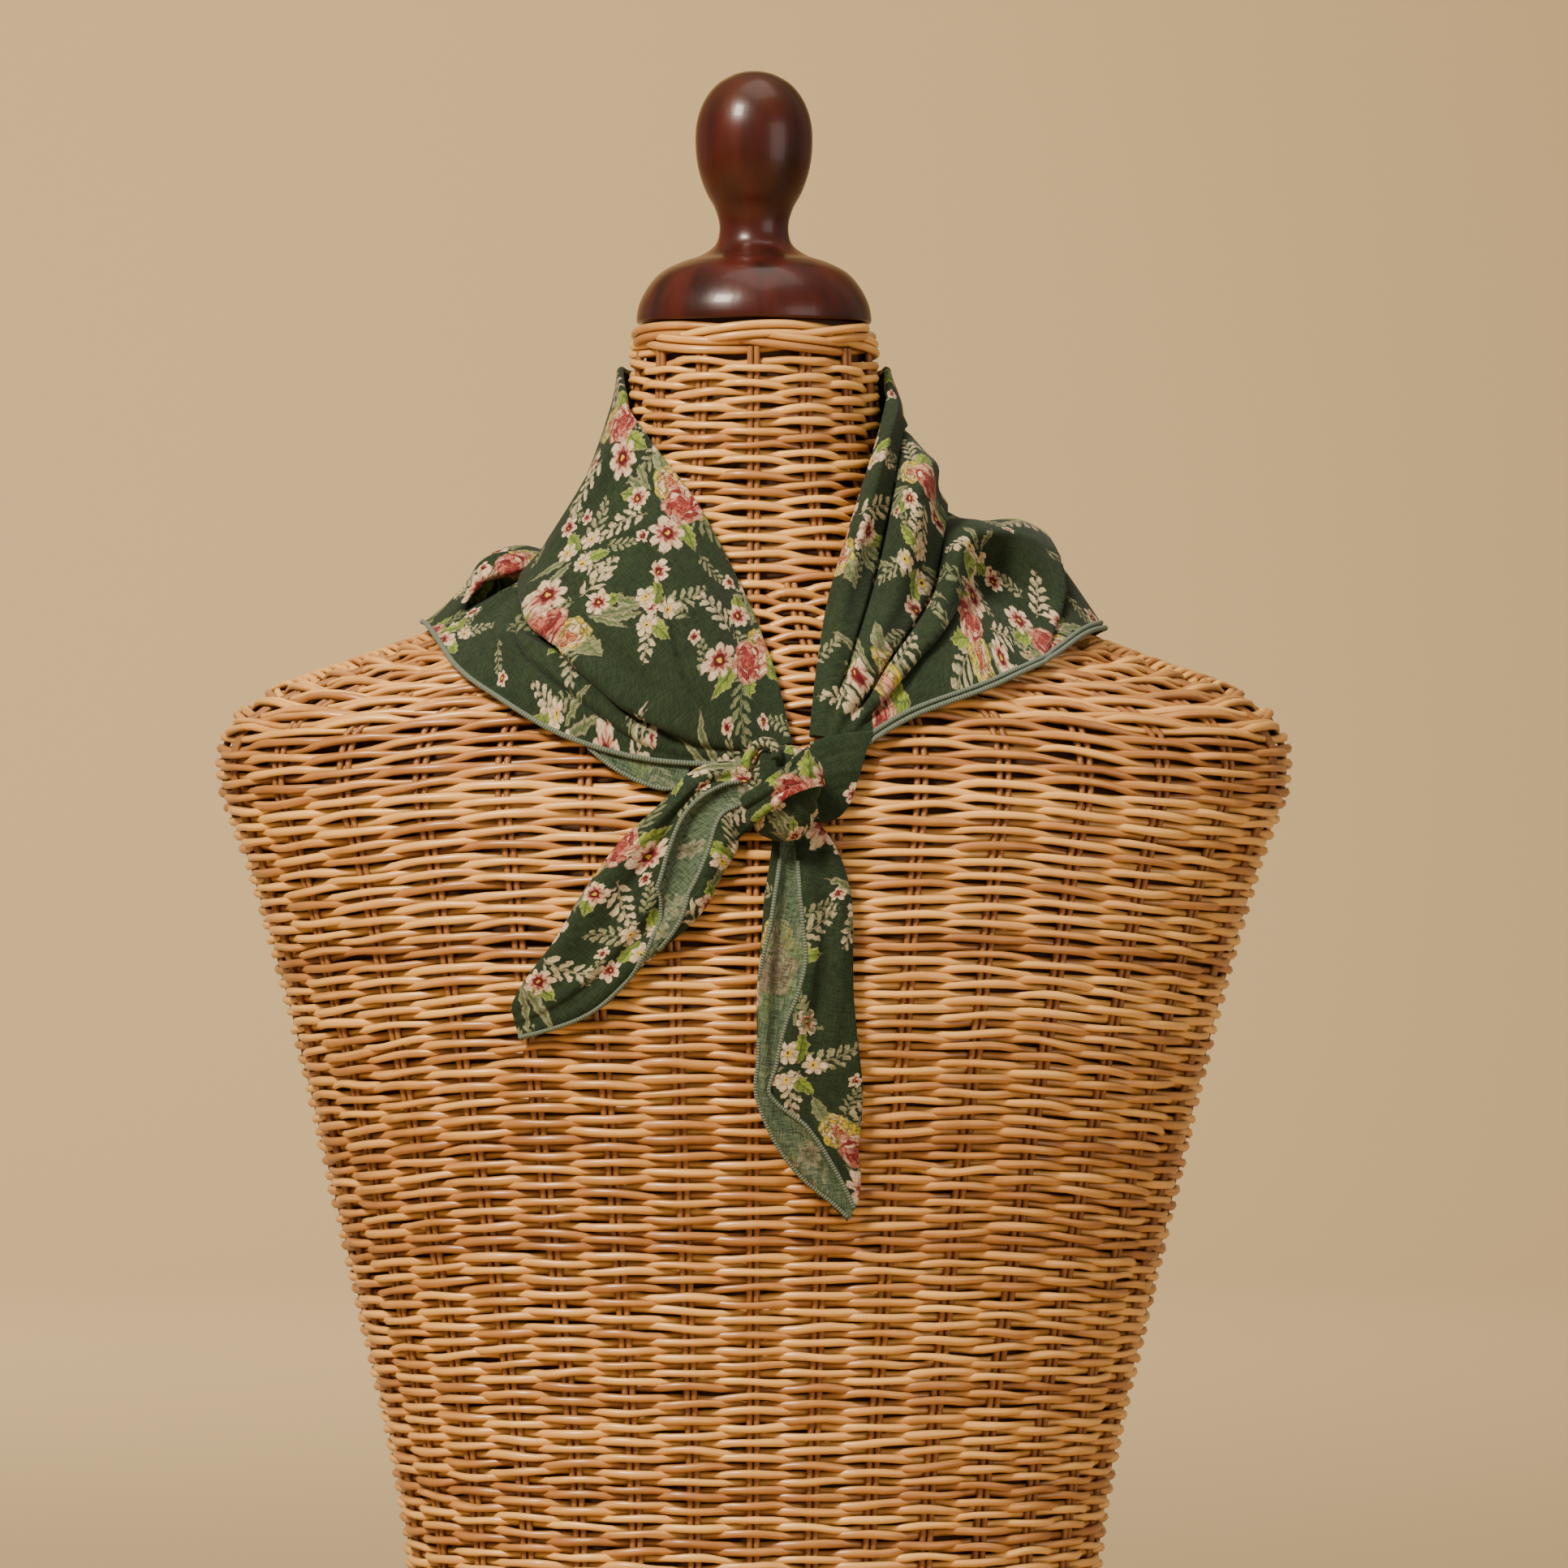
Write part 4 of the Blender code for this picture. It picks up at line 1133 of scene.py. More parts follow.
    def build(self) -> None:
        """All pieces of the woven form."""
        size = self.sizes
        body = np.arange(size.foot, size.level_top, size.pitch)
        shares = np.arange(1, size.shoulder_rows + 1) / size.shoulder_rows
        full, short = shares[1::2], shares[0::2]
        neck = np.arange(size.neck_from + 1.6, size.top, size.pitch)
        none = np.zeros(0)
        third, pairs = len(body) // 3, size.body_pairs
        low, slope, high = size.stake_points
        made = [
            self.weavers("weave_lower_torso", body[:third], none, pairs, 0),
            self.weavers("weave_middle_torso", body[third:2 * third], none, pairs, third),
            self.weavers("weave_upper_torso", body[2 * third:], full, pairs, 2 * third),
            self.weavers("weave_neck", neck, none, size.neck_pairs, 0),
            self.short_rows(short),
            self.ridge_wraps(),
            self.stakes("stakes_torso", np.linspace(5.0, size.level_top, low),
                        np.linspace(0.1, 1, slope), pairs),
            self.stakes("stakes_neck", np.linspace(size.neck_from - 4, size.top + 4, high),
                        none, size.neck_pairs),
            self.base_board(),
            self.inner_shade_sheet()]
        for piece in made:
            declare(piece, "woven_cane", "form_torso")


@dataclass(frozen=True)
class RimSizes:
    """Sizes of the braided rim, in millimetres."""

    middle: float = 44.9
    height: float = 641.7
    swing: float = 2.4
    rise: float = 3.3
    strand: float = 1.7
    apart: float = 1.75
    sway: float = 0.4
    turns: int = 2
    strands: int = 3
    samples: int = 160
    sides: int = 10
    tones: Pair = (0.2, 0.9)


@dataclass(frozen=True)
class BraidedRim:
    """A flat plait of doubled strands round the neck's top."""

    sizes: RimSizes
    material: Material

    def build(self) -> Piece:
        """The rim's object.

        Returns:
            One mesh of all its strands.
        """
        size = self.sizes
        angle = np.linspace(0, 2 * math.pi, size.samples, endpoint=False)
        lines = []
        for strand in range(size.strands):
            phase = angle * size.turns + strand * 2 * math.pi / size.strands
            for side in (-1, 1):
                height = size.height + size.rise * np.sin(phase) + side * size.apart
                out = (size.middle + size.swing * np.sin(2 * phase)
                       + size.sway * side * np.cos(phase))
                lines.append(np.stack([out * np.cos(angle), out * np.sin(angle), height], -1))
        middles = np.array(lines)
        outward = unit(middles * LEVEL)
        reach = np.full((*middles.shape[:2], 2), size.strand)
        tone = np.linspace(*size.tones, len(middles))
        rim = MeshMaker.tubes("neck_rim_braid", middles, outward, reach, True, size.sides,
                              self.material, tone)
        return declare(rim, "woven_cane", "form_neck_rim")


@dataclass(frozen=True)
class FinialSizes:
    """Profile of the finial: radius and height, in millimetres, from the top down."""

    profile: Path = (
        (8.0, 746.2), (14.5, 742.3), (19.5, 735.8), (22.3, 727.5), (22.8, 719.0),
        (21.6, 709.0), (18.5, 700.0), (15.0, 693.5), (13.4, 686.5), (14.6, 680.5),
        (20.5, 675.8), (28.5, 673.0), (36.5, 668.8), (42.3, 661.8), (45.2, 655.0),
        (45.8, 650.4))
    crown: Path = ((0.5, 747.58), (4.0, 747.3))
    foot: Path = ((45.6, 649.5), (45.0, 649.1))
    rings: int = 60
    sides: int = 72


@dataclass(frozen=True)
class Finial:
    """The turned knob and its domed cap."""

    sizes: FinialSizes
    material: Material

    def build(self) -> Piece:
        """The finial's object.

        Returns:
            One closed body.
        """
        size = self.sizes
        profile = np.array(size.profile)
        knots = run_along(profile)
        outline = smooth(profile, knots, np.linspace(0, knots[-1], size.rings))
        angle = circle(size.sides)
        rings = [level_ring(radius, height, angle)
                 for radius, height in (*size.crown, *outline, *size.foot)]
        finial = MeshMaker.body("finial_turned", np.array(rings), self.material)
        return declare(finial, "polished_wood", "form_finial")


@dataclass(frozen=True)
class Crease:
    """A soft trough or ridge between two places of a cloth, each a row and a line number."""

    start: Pair
    end: Pair
    width: float
    height: float


@dataclass(frozen=True)
class Groove:
    """A sharp fold line whose lip, on the lower lines' side, hangs over the cloth beyond."""

    path: Path
    over: float
    depth: float
    width: float = 2.0
    lip: float = 0.8


class ClothGrid:
    """A grid of points of one stretch of cloth, with its flat cut."""

    FLAT_ROUNDS = 160
    FLAT_PACE = 1.6
    CORD_PITCH = 1.4
    CORD_SIDES = 8
    BOW = 0.06
    CURL_CLEAR = 0.5
    SHARP = 70

    def __init__(self, points: Array, shape: FormShape, numbers: Array, lines: int) -> None:
        """Keeps the points and lays them flat.

        Args:
            points: Rows by columns of points, in millimetres.
            shape: The form that the cloth lies on.
            numbers: Each row's number in its table.
            lines: Number of lines in that table.
        """
        self.points, self.shape = points, shape
        self.numbers, self.lines = numbers, lines
        self.flat = self.lay_flat(points)

    @staticmethod
    def crossed(ribs: Array, across: int) -> Array:
        """Smooth rows with more points through the lines of coarse ones."""
        lines = np.linspace(0, 1, ribs.shape[1])
        grid = smooth(ribs.transpose(1, 0, 2), lines, np.linspace(0, 1, across + 1))
        return grid.transpose(1, 0, 2)

    @staticmethod
    def lay_flat(points: Array) -> Array:
        """The grid laid flat with its edges about as long as they are in space.

        Args:
            points: Grid of points.

        Returns:
            Grid of flat places.
        """
        step = np.linalg.norm(np.diff(points, axis=0), axis=-1)
        width = np.linalg.norm(np.diff(points, axis=1), axis=-1).sum(axis=1)
        turn = (step[:, -1] - step[:, 0]) / ((width[:-1] + width[1:]) / 2)
        heading = np.concatenate([[0], np.cumsum(turn)])
        bearing = (heading[1:] + heading[:-1]) / 2
        moves = np.stack([np.cos(bearing), np.sin(bearing)], -1) * step[:, :1]
        spine = np.concatenate([np.zeros((1, 2)), np.cumsum(moves, axis=0)])
        spine[:, 1] += width[0] / 2
        side = np.stack([np.sin(heading), -np.cos(heading)], axis=-1)
        flat = spine[:, None] + side[:, None] * run_across(points)[..., None]
        every, before, after = slice(None), slice(None, -1), slice(1, None)
        links = [(a, b, np.linalg.norm(points[b] - points[a], axis=-1)) for a, b in (
            ((before, every), (after, every)), ((every, before), (every, after)),
            ((before, before), (after, after)), ((before, after), (after, before)))]
        for _ in range(ClothGrid.FLAT_ROUNDS):
            push, count = np.zeros_like(flat), np.zeros(flat.shape[:2])
            for a, b, length in links:
                gap = flat[b] - flat[a]
                now = np.maximum(np.linalg.norm(gap, axis=-1), 1e-6)
                fix = gap * ((now - length) / now * 0.5)[..., None]
                push[a] += fix
                push[b] -= fix
                count[a] += 1
                count[b] += 1
            flat = flat + push / count[..., None] * ClothGrid.FLAT_PACE
        return flat

    @property
    def area(self) -> float:
        """Area in square metres."""
        p = self.points
        one = np.cross(p[1:, :-1] - p[:-1, :-1], p[:-1, 1:] - p[:-1, :-1])
        two = np.cross(p[1:, :-1] - p[1:, 1:], p[:-1, 1:] - p[1:, 1:])
        return float((np.linalg.norm(one, axis=-1) + np.linalg.norm(two, axis=-1)).sum()
                     / 2 * MM * MM)

    def normals(self) -> Array:
        """Unit normals that point away from the form."""
        normal = unit(np.cross(np.gradient(self.points, axis=0),
                               np.gradient(self.points, axis=1)))
        outward = self.points * LEVEL
        return -normal if (normal * outward).sum() < 0 else normal

    def place(self, row: float, line: float) -> Array:
        """Flat place at a number of row and line in the table."""
        rows, columns = self.flat.shape[:2]
        at = np.interp(row, self.numbers, np.arange(rows))
        return self.flat[round(at), round(line / (self.lines - 1) * (columns - 1))]

    def across(self) -> Array:
        """Length across the cloth from the first line to each point."""
        return run_across(self.points)

    def line(self, path: Sequence[Pair]) -> Array:
        """Length across to a path of row and line numbers, on each row of the grid."""
        rows, lines = np.array(path, float).T
        line = np.interp(self.numbers, rows, lines) / (self.lines - 1)
        columns = line * (self.points.shape[1] - 1)
        return np.array([np.interp(column, np.arange(len(row)), row)
                         for column, row in zip(columns, self.across())])

    def fold(self, grooves: Iterable[Groove], least: float) -> None:
        """Sinks the cloth along its grooves and hangs their lips over them.

        Args:
            grooves: The fold lines.
            least: How far the cloth stays off the form.
        """
        normals = self.normals()
        side = unit(np.gradient(self.points, axis=1))
        moved = np.zeros_like(self.points)
        for one in grooves:
            away = self.across() - self.line(one.path)[:, None]
            first, last = one.path[0][0], one.path[-1][0]
            fade = (soft_step(self.numbers, first - 0.3, first + 0.5)
                    * (1 - soft_step(self.numbers, last - 0.5, last + 0.3)))[:, None]
            lip = np.exp(-((away + 0.9 * one.width) / one.width) ** 2)
            sunk = np.exp(-((away - 0.5 * one.width) / (0.7 * one.width)) ** 2)
            moved += ((one.lip * lip - one.depth * sunk) * fade)[..., None] * normals
            moved += (one.over * lip * fade)[..., None] * side
        self.points = self.shape.clear(self.points + moved, least)

    def crease(self, creases: Iterable[Crease], least: float) -> None:
        """Raises and lowers the cloth along its creases.

        Args:
            creases: The soft troughs and ridges.
            least: How far the cloth stays off the form.
        """
        lift = np.zeros(self.flat.shape[:2])
        for one in creases:
            start, end = self.place(*one.start), self.place(*one.end)
            way = end - start
            length = float(np.linalg.norm(way))
            share = ((self.flat - start) @ way) / length**2
            bow = self.BOW * length * np.sin(np.clip(share, 0, 1) * math.pi)
            off = (self.flat - start) @ np.array([-way[1], way[0]]) / length - bow
            fade = soft_step(share, -0.15, 0.2) * (1 - soft_step(share, 0.75, 1.15))
            width = one.width * (0.7 + 0.6 * np.clip(share, 0, 1))
            lift += one.height * fade * np.exp(-(off / width) ** 2)
        self.points = self.points + self.normals() * lift[..., None]
        self.points = self.shape.clear(self.points, least)

    def shell(self, name: str, thick: float, material: Material,
              wrong: Optional[Array] = None, shift: Pair = (0.0, 0.0),
              turn: float = 0.0, curl: Pair = (0.0, 0.0)) -> Piece:
        """A thin closed shell about the grid.

        Args:
            name: Its name.
            thick: Its thickness.
            material: Its finish.
            wrong: One where the cloth's wrong side faces out, for each point.
            shift: Where the print starts.
            turn: How the print is turned, in degrees.
            curl: Radius of the fold turned under along the first and last line.

        Returns:
            The object.
        """
        middle, normal, laid = self.points, self.normals(), self.flat
        wrong = np.zeros(middle.shape[:2]) if wrong is None else wrong
        for column, radius in zip((0, -1), curl):
            if radius:
                middle, normal, laid, wrong = self.curled(middle, normal, laid, wrong,
                                                          column, radius)
        half = normal * thick / 2
        rows, columns = middle.shape[:2]
        count = rows * columns
        points = np.concatenate([(middle + half).reshape(-1, 3),
                                 (middle - half).reshape(-1, 3)])
        index = np.arange(count).reshape(rows, columns)
        sheet = np.stack([index[:-1, :-1], index[1:, :-1], index[1:, 1:], index[:-1, 1:]],
                         axis=-1).reshape(-1, 4)
        rim = np.concatenate([index[:, 0], index[-1, 1:], index[-2::-1, -1], index[0, -2:0:-1]])
        after = np.roll(rim, -1)
        edge = np.stack([rim, rim + count, after + count, after], axis=-1)
        faces = np.concatenate([sheet, sheet[:, ::-1] + count, edge])
        flat = (turned(laid, math.radians(turn)) + np.array(shift)).reshape(-1, 2) * MM
        wrong = wrong.ravel()
        return MeshMaker.add(name, points, faces, material, flat=np.concatenate([flat, flat]),
                             data={"wrong_side": np.concatenate([wrong, 1 - wrong])},
                             sharp=self.SHARP)

    def curled(self, middle: Array, normal: Array, laid: Array, wrong: Array, column: int,
               radius: float) -> tuple[Array, Array, Array, Array]:
        """The grid with one side edge turned under in a half round.

        Args:
            middle: Grid of points.
            normal: Their normals.
            laid: Their flat places.
            wrong: Which side faces out.
            column: The edge's column, 0 or -1.
            radius: The fold's radius.

        Returns:
            The same four with the fold's columns added.
        """
        inner = 1 if column == 0 else -2
        turns = np.radians([30, 60, 90, 120, 150, 180])[:, None]
        way = unit(middle[:, column] - middle[:, inner])
        face = unit(normal[:, column] - way * (normal[:, column] * way).sum(-1, keepdims=True))
        run = unit(laid[:, column] - laid[:, inner])[:, None]
        way, face = way[:, None], face[:, None]
        place = (middle[:, column, None] + way * radius * np.sin(turns)
                 - face * radius * (1 - np.cos(turns)))
        added = (self.shape.clear(place, self.CURL_CLEAR),
                 face * np.cos(turns) + way * np.sin(turns),
                 laid[:, column, None] + run * radius * turns,
                 np.repeat(wrong[:, column, None], len(turns), axis=1))
        made = [np.concatenate([block[:, ::-1], whole] if column == 0 else [whole, block], axis=1)
                for whole, block in zip((middle, normal, laid, wrong), added)]
        return tuple(made)

    def cord(self, name: str, path: Sequence[Pair], inset: float, out: float,
             reach: Pair, material: Material) -> Piece:
        """A hem cord along the cloth.

        Args:
            name: Its name.
            path: Row and line numbers that it follows.
            inset: How far its middle stays inside that path.
            out: How far its middle stands off the cloth.
            reach: Half sizes of its section, out and across.
            material: Its finish.

        Returns:
            The object.
        """
        kept = (self.numbers >= path[0][0]) & (self.numbers <= path[-1][0])
        line, face = [], []
        for row, facing, across, at in zip(self.points[kept], self.normals()[kept],
                                           self.across()[kept], self.line(path)[kept]):
            line.append([np.interp(at - inset, across, part) for part in row.T])
            face.append([np.interp(at - inset, across, part) for part in facing.T])
        line, face = np.array(line), unit(np.array(face))
        line = line + face * out
        run = run_along(line)
        where = np.linspace(0, run[-1], max(int(run[-1] / self.CORD_PITCH), 8))
        line = np.stack([np.interp(where, run, part) for part in line.T], axis=-1)
        way = np.stack([np.interp(where, run, part) for part in face.T], axis=-1)
        half = np.broadcast_to(np.array(reach), (1, len(line), 2))
        return MeshMaker.tubes(name, line[None], way[None], half, False, self.CORD_SIDES,
                               material, np.array([0.5]), capped=True)


WRAP_CREASES = (
    Crease((1.2, 0.9), (4.5, 0.9), 3.0, -1.4),
    Crease((1.0, 1.6), (4.0, 1.7), 3.5, 1.2),
    Crease((1.1, 2.6), (3.4, 2.7), 4.0, -1.4),
    Crease((4.3, 4.2), (4.4, 6.5), 2.8, 3.4),
    Crease((5.2, 4.0), (5.3, 6.4), 6.0, -11.0),
    Crease((6.3, 4.4), (6.4, 6.6), 4.0, 2.0),
    Crease((0.9, 4.4), (3.4, 4.5), 5.0, -2.6),
    Crease((1.3, 6.2), (3.6, 5.6), 2.6, -1.4),
    Crease((1.2, 7.2), (4.2, 6.8), 2.8, 1.2),
    Crease((3.0, 7.6), (5.4, 6.2), 3.0, -1.2),
    Crease((19.2, 0.8), (21.4, 0.8), 2.4, -0.8),
    Crease((18.4, 3.4), (21.0, 3.2), 2.2, -0.8),
    Crease((17.6, 6.4), (20.6, 6.0), 3.0, 1.2),
    Crease((18.2, 7.3), (21.2, 6.9), 2.6, -1.2),
    Crease((16.0, 3.2), (18.6, 3.3), 6.0, 2.2),
    Crease((8.5, 3.0), (10.5, 6.6), 6.0, 1.6),
    Crease((9.6, 4.0), (11.0, 7.2), 5.0, -1.5),
    Crease((12.9, 3.4), (11.8, 7.0), 6.0, 1.4),
    Crease((14.1, 3.0), (12.9, 6.6), 5.0, -1.4),
)
WRAP_GROOVES = (
    Groove(((1.0, 3.35), (5.4, 3.5)), 5.5, 3.2, 3.6, 2.6),
    Groove(((0.9, 2.3), (3.2, 1.5)), 1.6, 3.0, 2.4, 1.2),
    Groove(((1.0, 5.9), (3.8, 5.4)), 1.2, 2.0, 2.2, 0.9),
    Groove(((17.0, 1.9), (21.6, 1.9)), 2.0, 2.6, 2.2, 1.4),
    Groove(((16.6, 3.9), (21.6, 3.9)), 2.8, 3.2, 2.6, 1.8),
    Groove(((18.6, 5.4), (21.6, 5.5)), 2.4, 2.8, 2.4, 1.6),
    Groove(((16.2, 6.3), (17.0, 6.5), (18.0, 7.1), (18.7, 7.5), (19.2, 7.9)), 3.8, 3.2, 3.0,
           2.4),
)


@dataclass(frozen=True)
class WrapSizes:
    """The run round the neck, in 9 lines across from the neck fold to the hem.

    Each point is across, height and how far forward: on a "chest" row from the form's
    surface, on a "free" row from the neck's axis. Lines: neck fold, slope, crest, border,
    trough, ridge, panel, lower panel, hem.
    """

    left: tuple[Any, ...] = (
        ("chest", (13, 485, 3.4), (11, 484.5, 3.6), (9, 484, 3.6), (7, 483, 3.6),
         (5, 482, 3.6), (3.5, 481, 3.6), (2, 480, 3.6), (0.5, 478.5, 3.6), (-1, 477, 3.6)),
        ("chest", (5, 518, 3), (-4, 514, 9), (-17, 506, 15), (-31, 492, 12), (-33, 488, 6.5),
         (-36, 486, 7), (-38, 484, 6.5), (-40, 482, 5), (-41, 479, 4)),
        ("chest", (-5, 544, 3), (-13, 541, 13), (-31, 528, 23), (-56, 513, 15), (-57, 509, 6),
         (-62, 507, 10), (-66, 501, 9), (-69, 495, 6), (-72, 488, 3.8)),
        ("chest", (-21, 575, 3), (-30, 569, 14), (-48, 552, 26), (-76, 531, 20), (-77, 526, 7),
         (-84, 524, 12), (-89, 518, 11), (-94, 511, 7), (-99, 503, 3)),
        ("free", (-40, 601, 36), (-48, 591, 41), (-62, 571, 48), (-85, 546, 52),
         (-83, 541, 40), (-90, 541, 42), (-98, 534, 46), (-106, 524, 54), (-113, 513, 65)),
        ("free", (-46, 615, 22), (-53, 604, 32), (-67, 582, 37), (-84, 557, 27),
         (-88, 547, 19), (-97, 542, 19), (-106, 537, 20), (-113, 530, 27), (-120, 521, 42)),
        ("free", (-48, 623, 12), (-55, 611, 17), (-65, 588, 19), (-77, 566, 13),
         (-84, 557, 12), (-93, 553, 19), (-103, 551, 20), (-113, 541, 21), (-125, 527, 20)),
        ("free", (-50, 630, 0), (-56, 615, 0), (-65, 589, -2), (-75, 567, -6),
         (-80, 560, -4), (-92, 562, 2), (-104, 558, 2), (-116, 543, 0), (-128, 530, 0)))
    right: tuple[Any, ...] = (
        ("free", (51, 630, 0), (57, 619, 0), (59, 608, 0), (68, 596, -2), (74, 578, -6),
         (85, 572, -2), (105, 572, 2), (117, 557, 2), (136, 529, 0)),
        ("free", (49, 612, 20), (54, 610, 28), (57, 605, 18), (66, 592, 38), (74, 571, 26),
         (87, 570, 36), (103, 563, 29), (117, 547, 25), (130, 526, 24)),
        ("free", (41, 583, 40), (47, 586, 51), (53, 584, 40), (63, 578, 56), (72, 564, 40),
         (81, 561, 48), (90, 549, 30), (103, 534, 40), (115, 517, 57)),
        ("chest", (32, 552, 3), (38, 554, 13), (46, 551, 6), (56, 548, 19), (67, 543, 8),
         (73, 538, 17), (79, 530, 6), (86, 519, 6), (94, 507, 3)),
        ("chest", (26, 521, 3), (31, 520, 9), (36, 518, 6), (41, 515, 13), (46, 511, 7),
         (50, 508, 10), (53, 504, 6), (56, 499, 5), (59, 494, 3)),
        ("chest", (23, 488, 3), (25, 488, 3.8), (27, 487.5, 3.8), (29.5, 487, 4.2),
         (32, 486.5, 4), (34.5, 486, 4), (37, 485.5, 3.5), (40, 485, 3.2), (43, 484.5, 3)))
    back_middle: Path = (
        (53, 630), (59, 618), (62, 600), (70, 580), (72, 562), (84, 541), (95, 505),
        (105, 430), (97, 343))
    back_angles: tuple[float, ...] = (18, 36, 54, 72, 90)
    hem_share: tuple[float, ...] = (0.05, 0.16, 0.36, 0.64, 1.0)
    back_fold: float = 3.5
    fold_by_line: tuple[float, ...] = (0.0, 0.1, 0.3, 0.6, 0.9, 1.0, 1.0, 0.8, 0.5)
    clear: float = 1.7
    steps: tuple[int, int, int] = (84, 72, 72)
    across: int = 96
    thick: float = 0.9
    strip: float = 2.8
    strip_from: float = 17.3
    flat_shift: Pair = (-25.0, 15.0)
    curl: Pair = (1.6, 0.0)
    nodes: tuple[str, ...] = ("scarf_left_front", "scarf_back", "scarf_right_front")


@dataclass(frozen=True)
class StripSizes:
    """A strip of cloth on the chest: rows of stand-off, across and height."""

    name: str
    node: str
    rows: tuple[Any, ...]
    flat_turn: float
    flat_shift: Pair
    held: str
    creases: tuple[Crease, ...] = ()
    side: Side = Side.PRINTED
    along: int = 64
    across: int = 48
    thick: float = 0.7
    clear: float = 1.45
    folds: Optional[tuple[float, ...]] = None
    cords: tuple[Path, ...] = ()
    wrong: Optional[tuple[Any, Any]] = None
    curl: Pair = (0.0, 0.0)

    def net(self) -> Array:
        """Rows by lines of stand-off, across and height."""
        if self.folds is None:
            return np.array(self.rows, float)
        return np.array([[(stand + share * fold, x, z)
                          for fold, (x, z) in zip(self.folds, points)]
                         for (stand, share), *points in self.rows], float)


LEFT_TAIL = StripSizes(
    "tail_left_cloth", "scarf_left_tail",
    rows=(
        ((5.6, 0.1), (4, 475), (4, 473), (4, 471), (4, 469), (4, 467), (4, 465), (3, 462),
         (2, 459), (2, 456)),
        ((6.8, 0.4), (-12, 478), (-11, 475), (-10, 472.5), (-9.5, 470), (-9, 467), (-8, 464),
         (-7, 461), (-6, 456), (-5, 451)),
        ((8.0, 0.7), (-22, 475), (-20, 471), (-19, 468.5), (-18, 466), (-16, 463),
         (-14, 460.5), (-11, 459), (-9, 453), (-6, 447)),
        ((8.0, 0.9), (-36, 461), (-33, 459), (-30, 457), (-26, 458), (-23.5, 456),
         (-19, 454), (-14, 454), (-11, 448), (-8, 443)),
        ((7.5, 1.0), (-48, 450), (-44, 447), (-38, 444), (-31, 447), (-28, 445), (-23, 443),
         (-17, 444), (-14, 440), (-12, 436)),
        ((6.8, 0.9), (-61, 433), (-57, 431), (-47, 428), (-36, 431), (-32, 429),
         (-27.5, 428), (-24, 429), (-20, 427), (-18, 424)),
        ((5.8, 0.5), (-75, 410), (-71, 409), (-61, 406), (-53, 407), (-50, 405.5),
         (-48, 404.5), (-46, 403.5), (-43.5, 402.5), (-41.5, 402)),
        ((4.8, 0.35), (-86, 395), (-83, 394), (-78, 391), (-73, 389), (-71, 387.5),
         (-69, 386.3), (-67, 385), (-65, 384), (-62.5, 383)),
        ((4.0, 0.1), (-91, 385), (-90.5, 383.5), (-90, 382), (-89.6, 380.5), (-89.3, 379.3),
         (-89, 378.1), (-88.7, 376.9), (-88.4, 375.7), (-88, 374.5))),
    flat_turn=38.0, flat_shift=(31.0, 12.0), held="hung",
    creases=(Crease((1.0, 1.6), (5.0, 1.6), 1.6, 0.6),
             Crease((2.0, 2.6), (6.0, 2.4), 1.8, -0.6),
             Crease((1.5, 7.4), (5.0, 7.4), 1.3, 0.5)),
    folds=(-2.4, 3.4, -0.6, 2.4, -1.6, -1.4, 1.2, 1.0, -2.4),
    cords=(((0.6, 3), (5, 3), (5.4, 4.9), (5.75, 6.4), (6.2, 7.9), (8, 7.9)),
           ((0.8, 6), (5, 6), (5.4, 7), (5.8, 7.8))),
    wrong=(((0, 3), (5, 3), (5.4, 4.9), (5.75, 6.4), (6.1, 8)),
           ((0, 6), (5, 6), (5.4, 7), (5.8, 8), (6.1, 8))), curl=(1.2, 1.2))
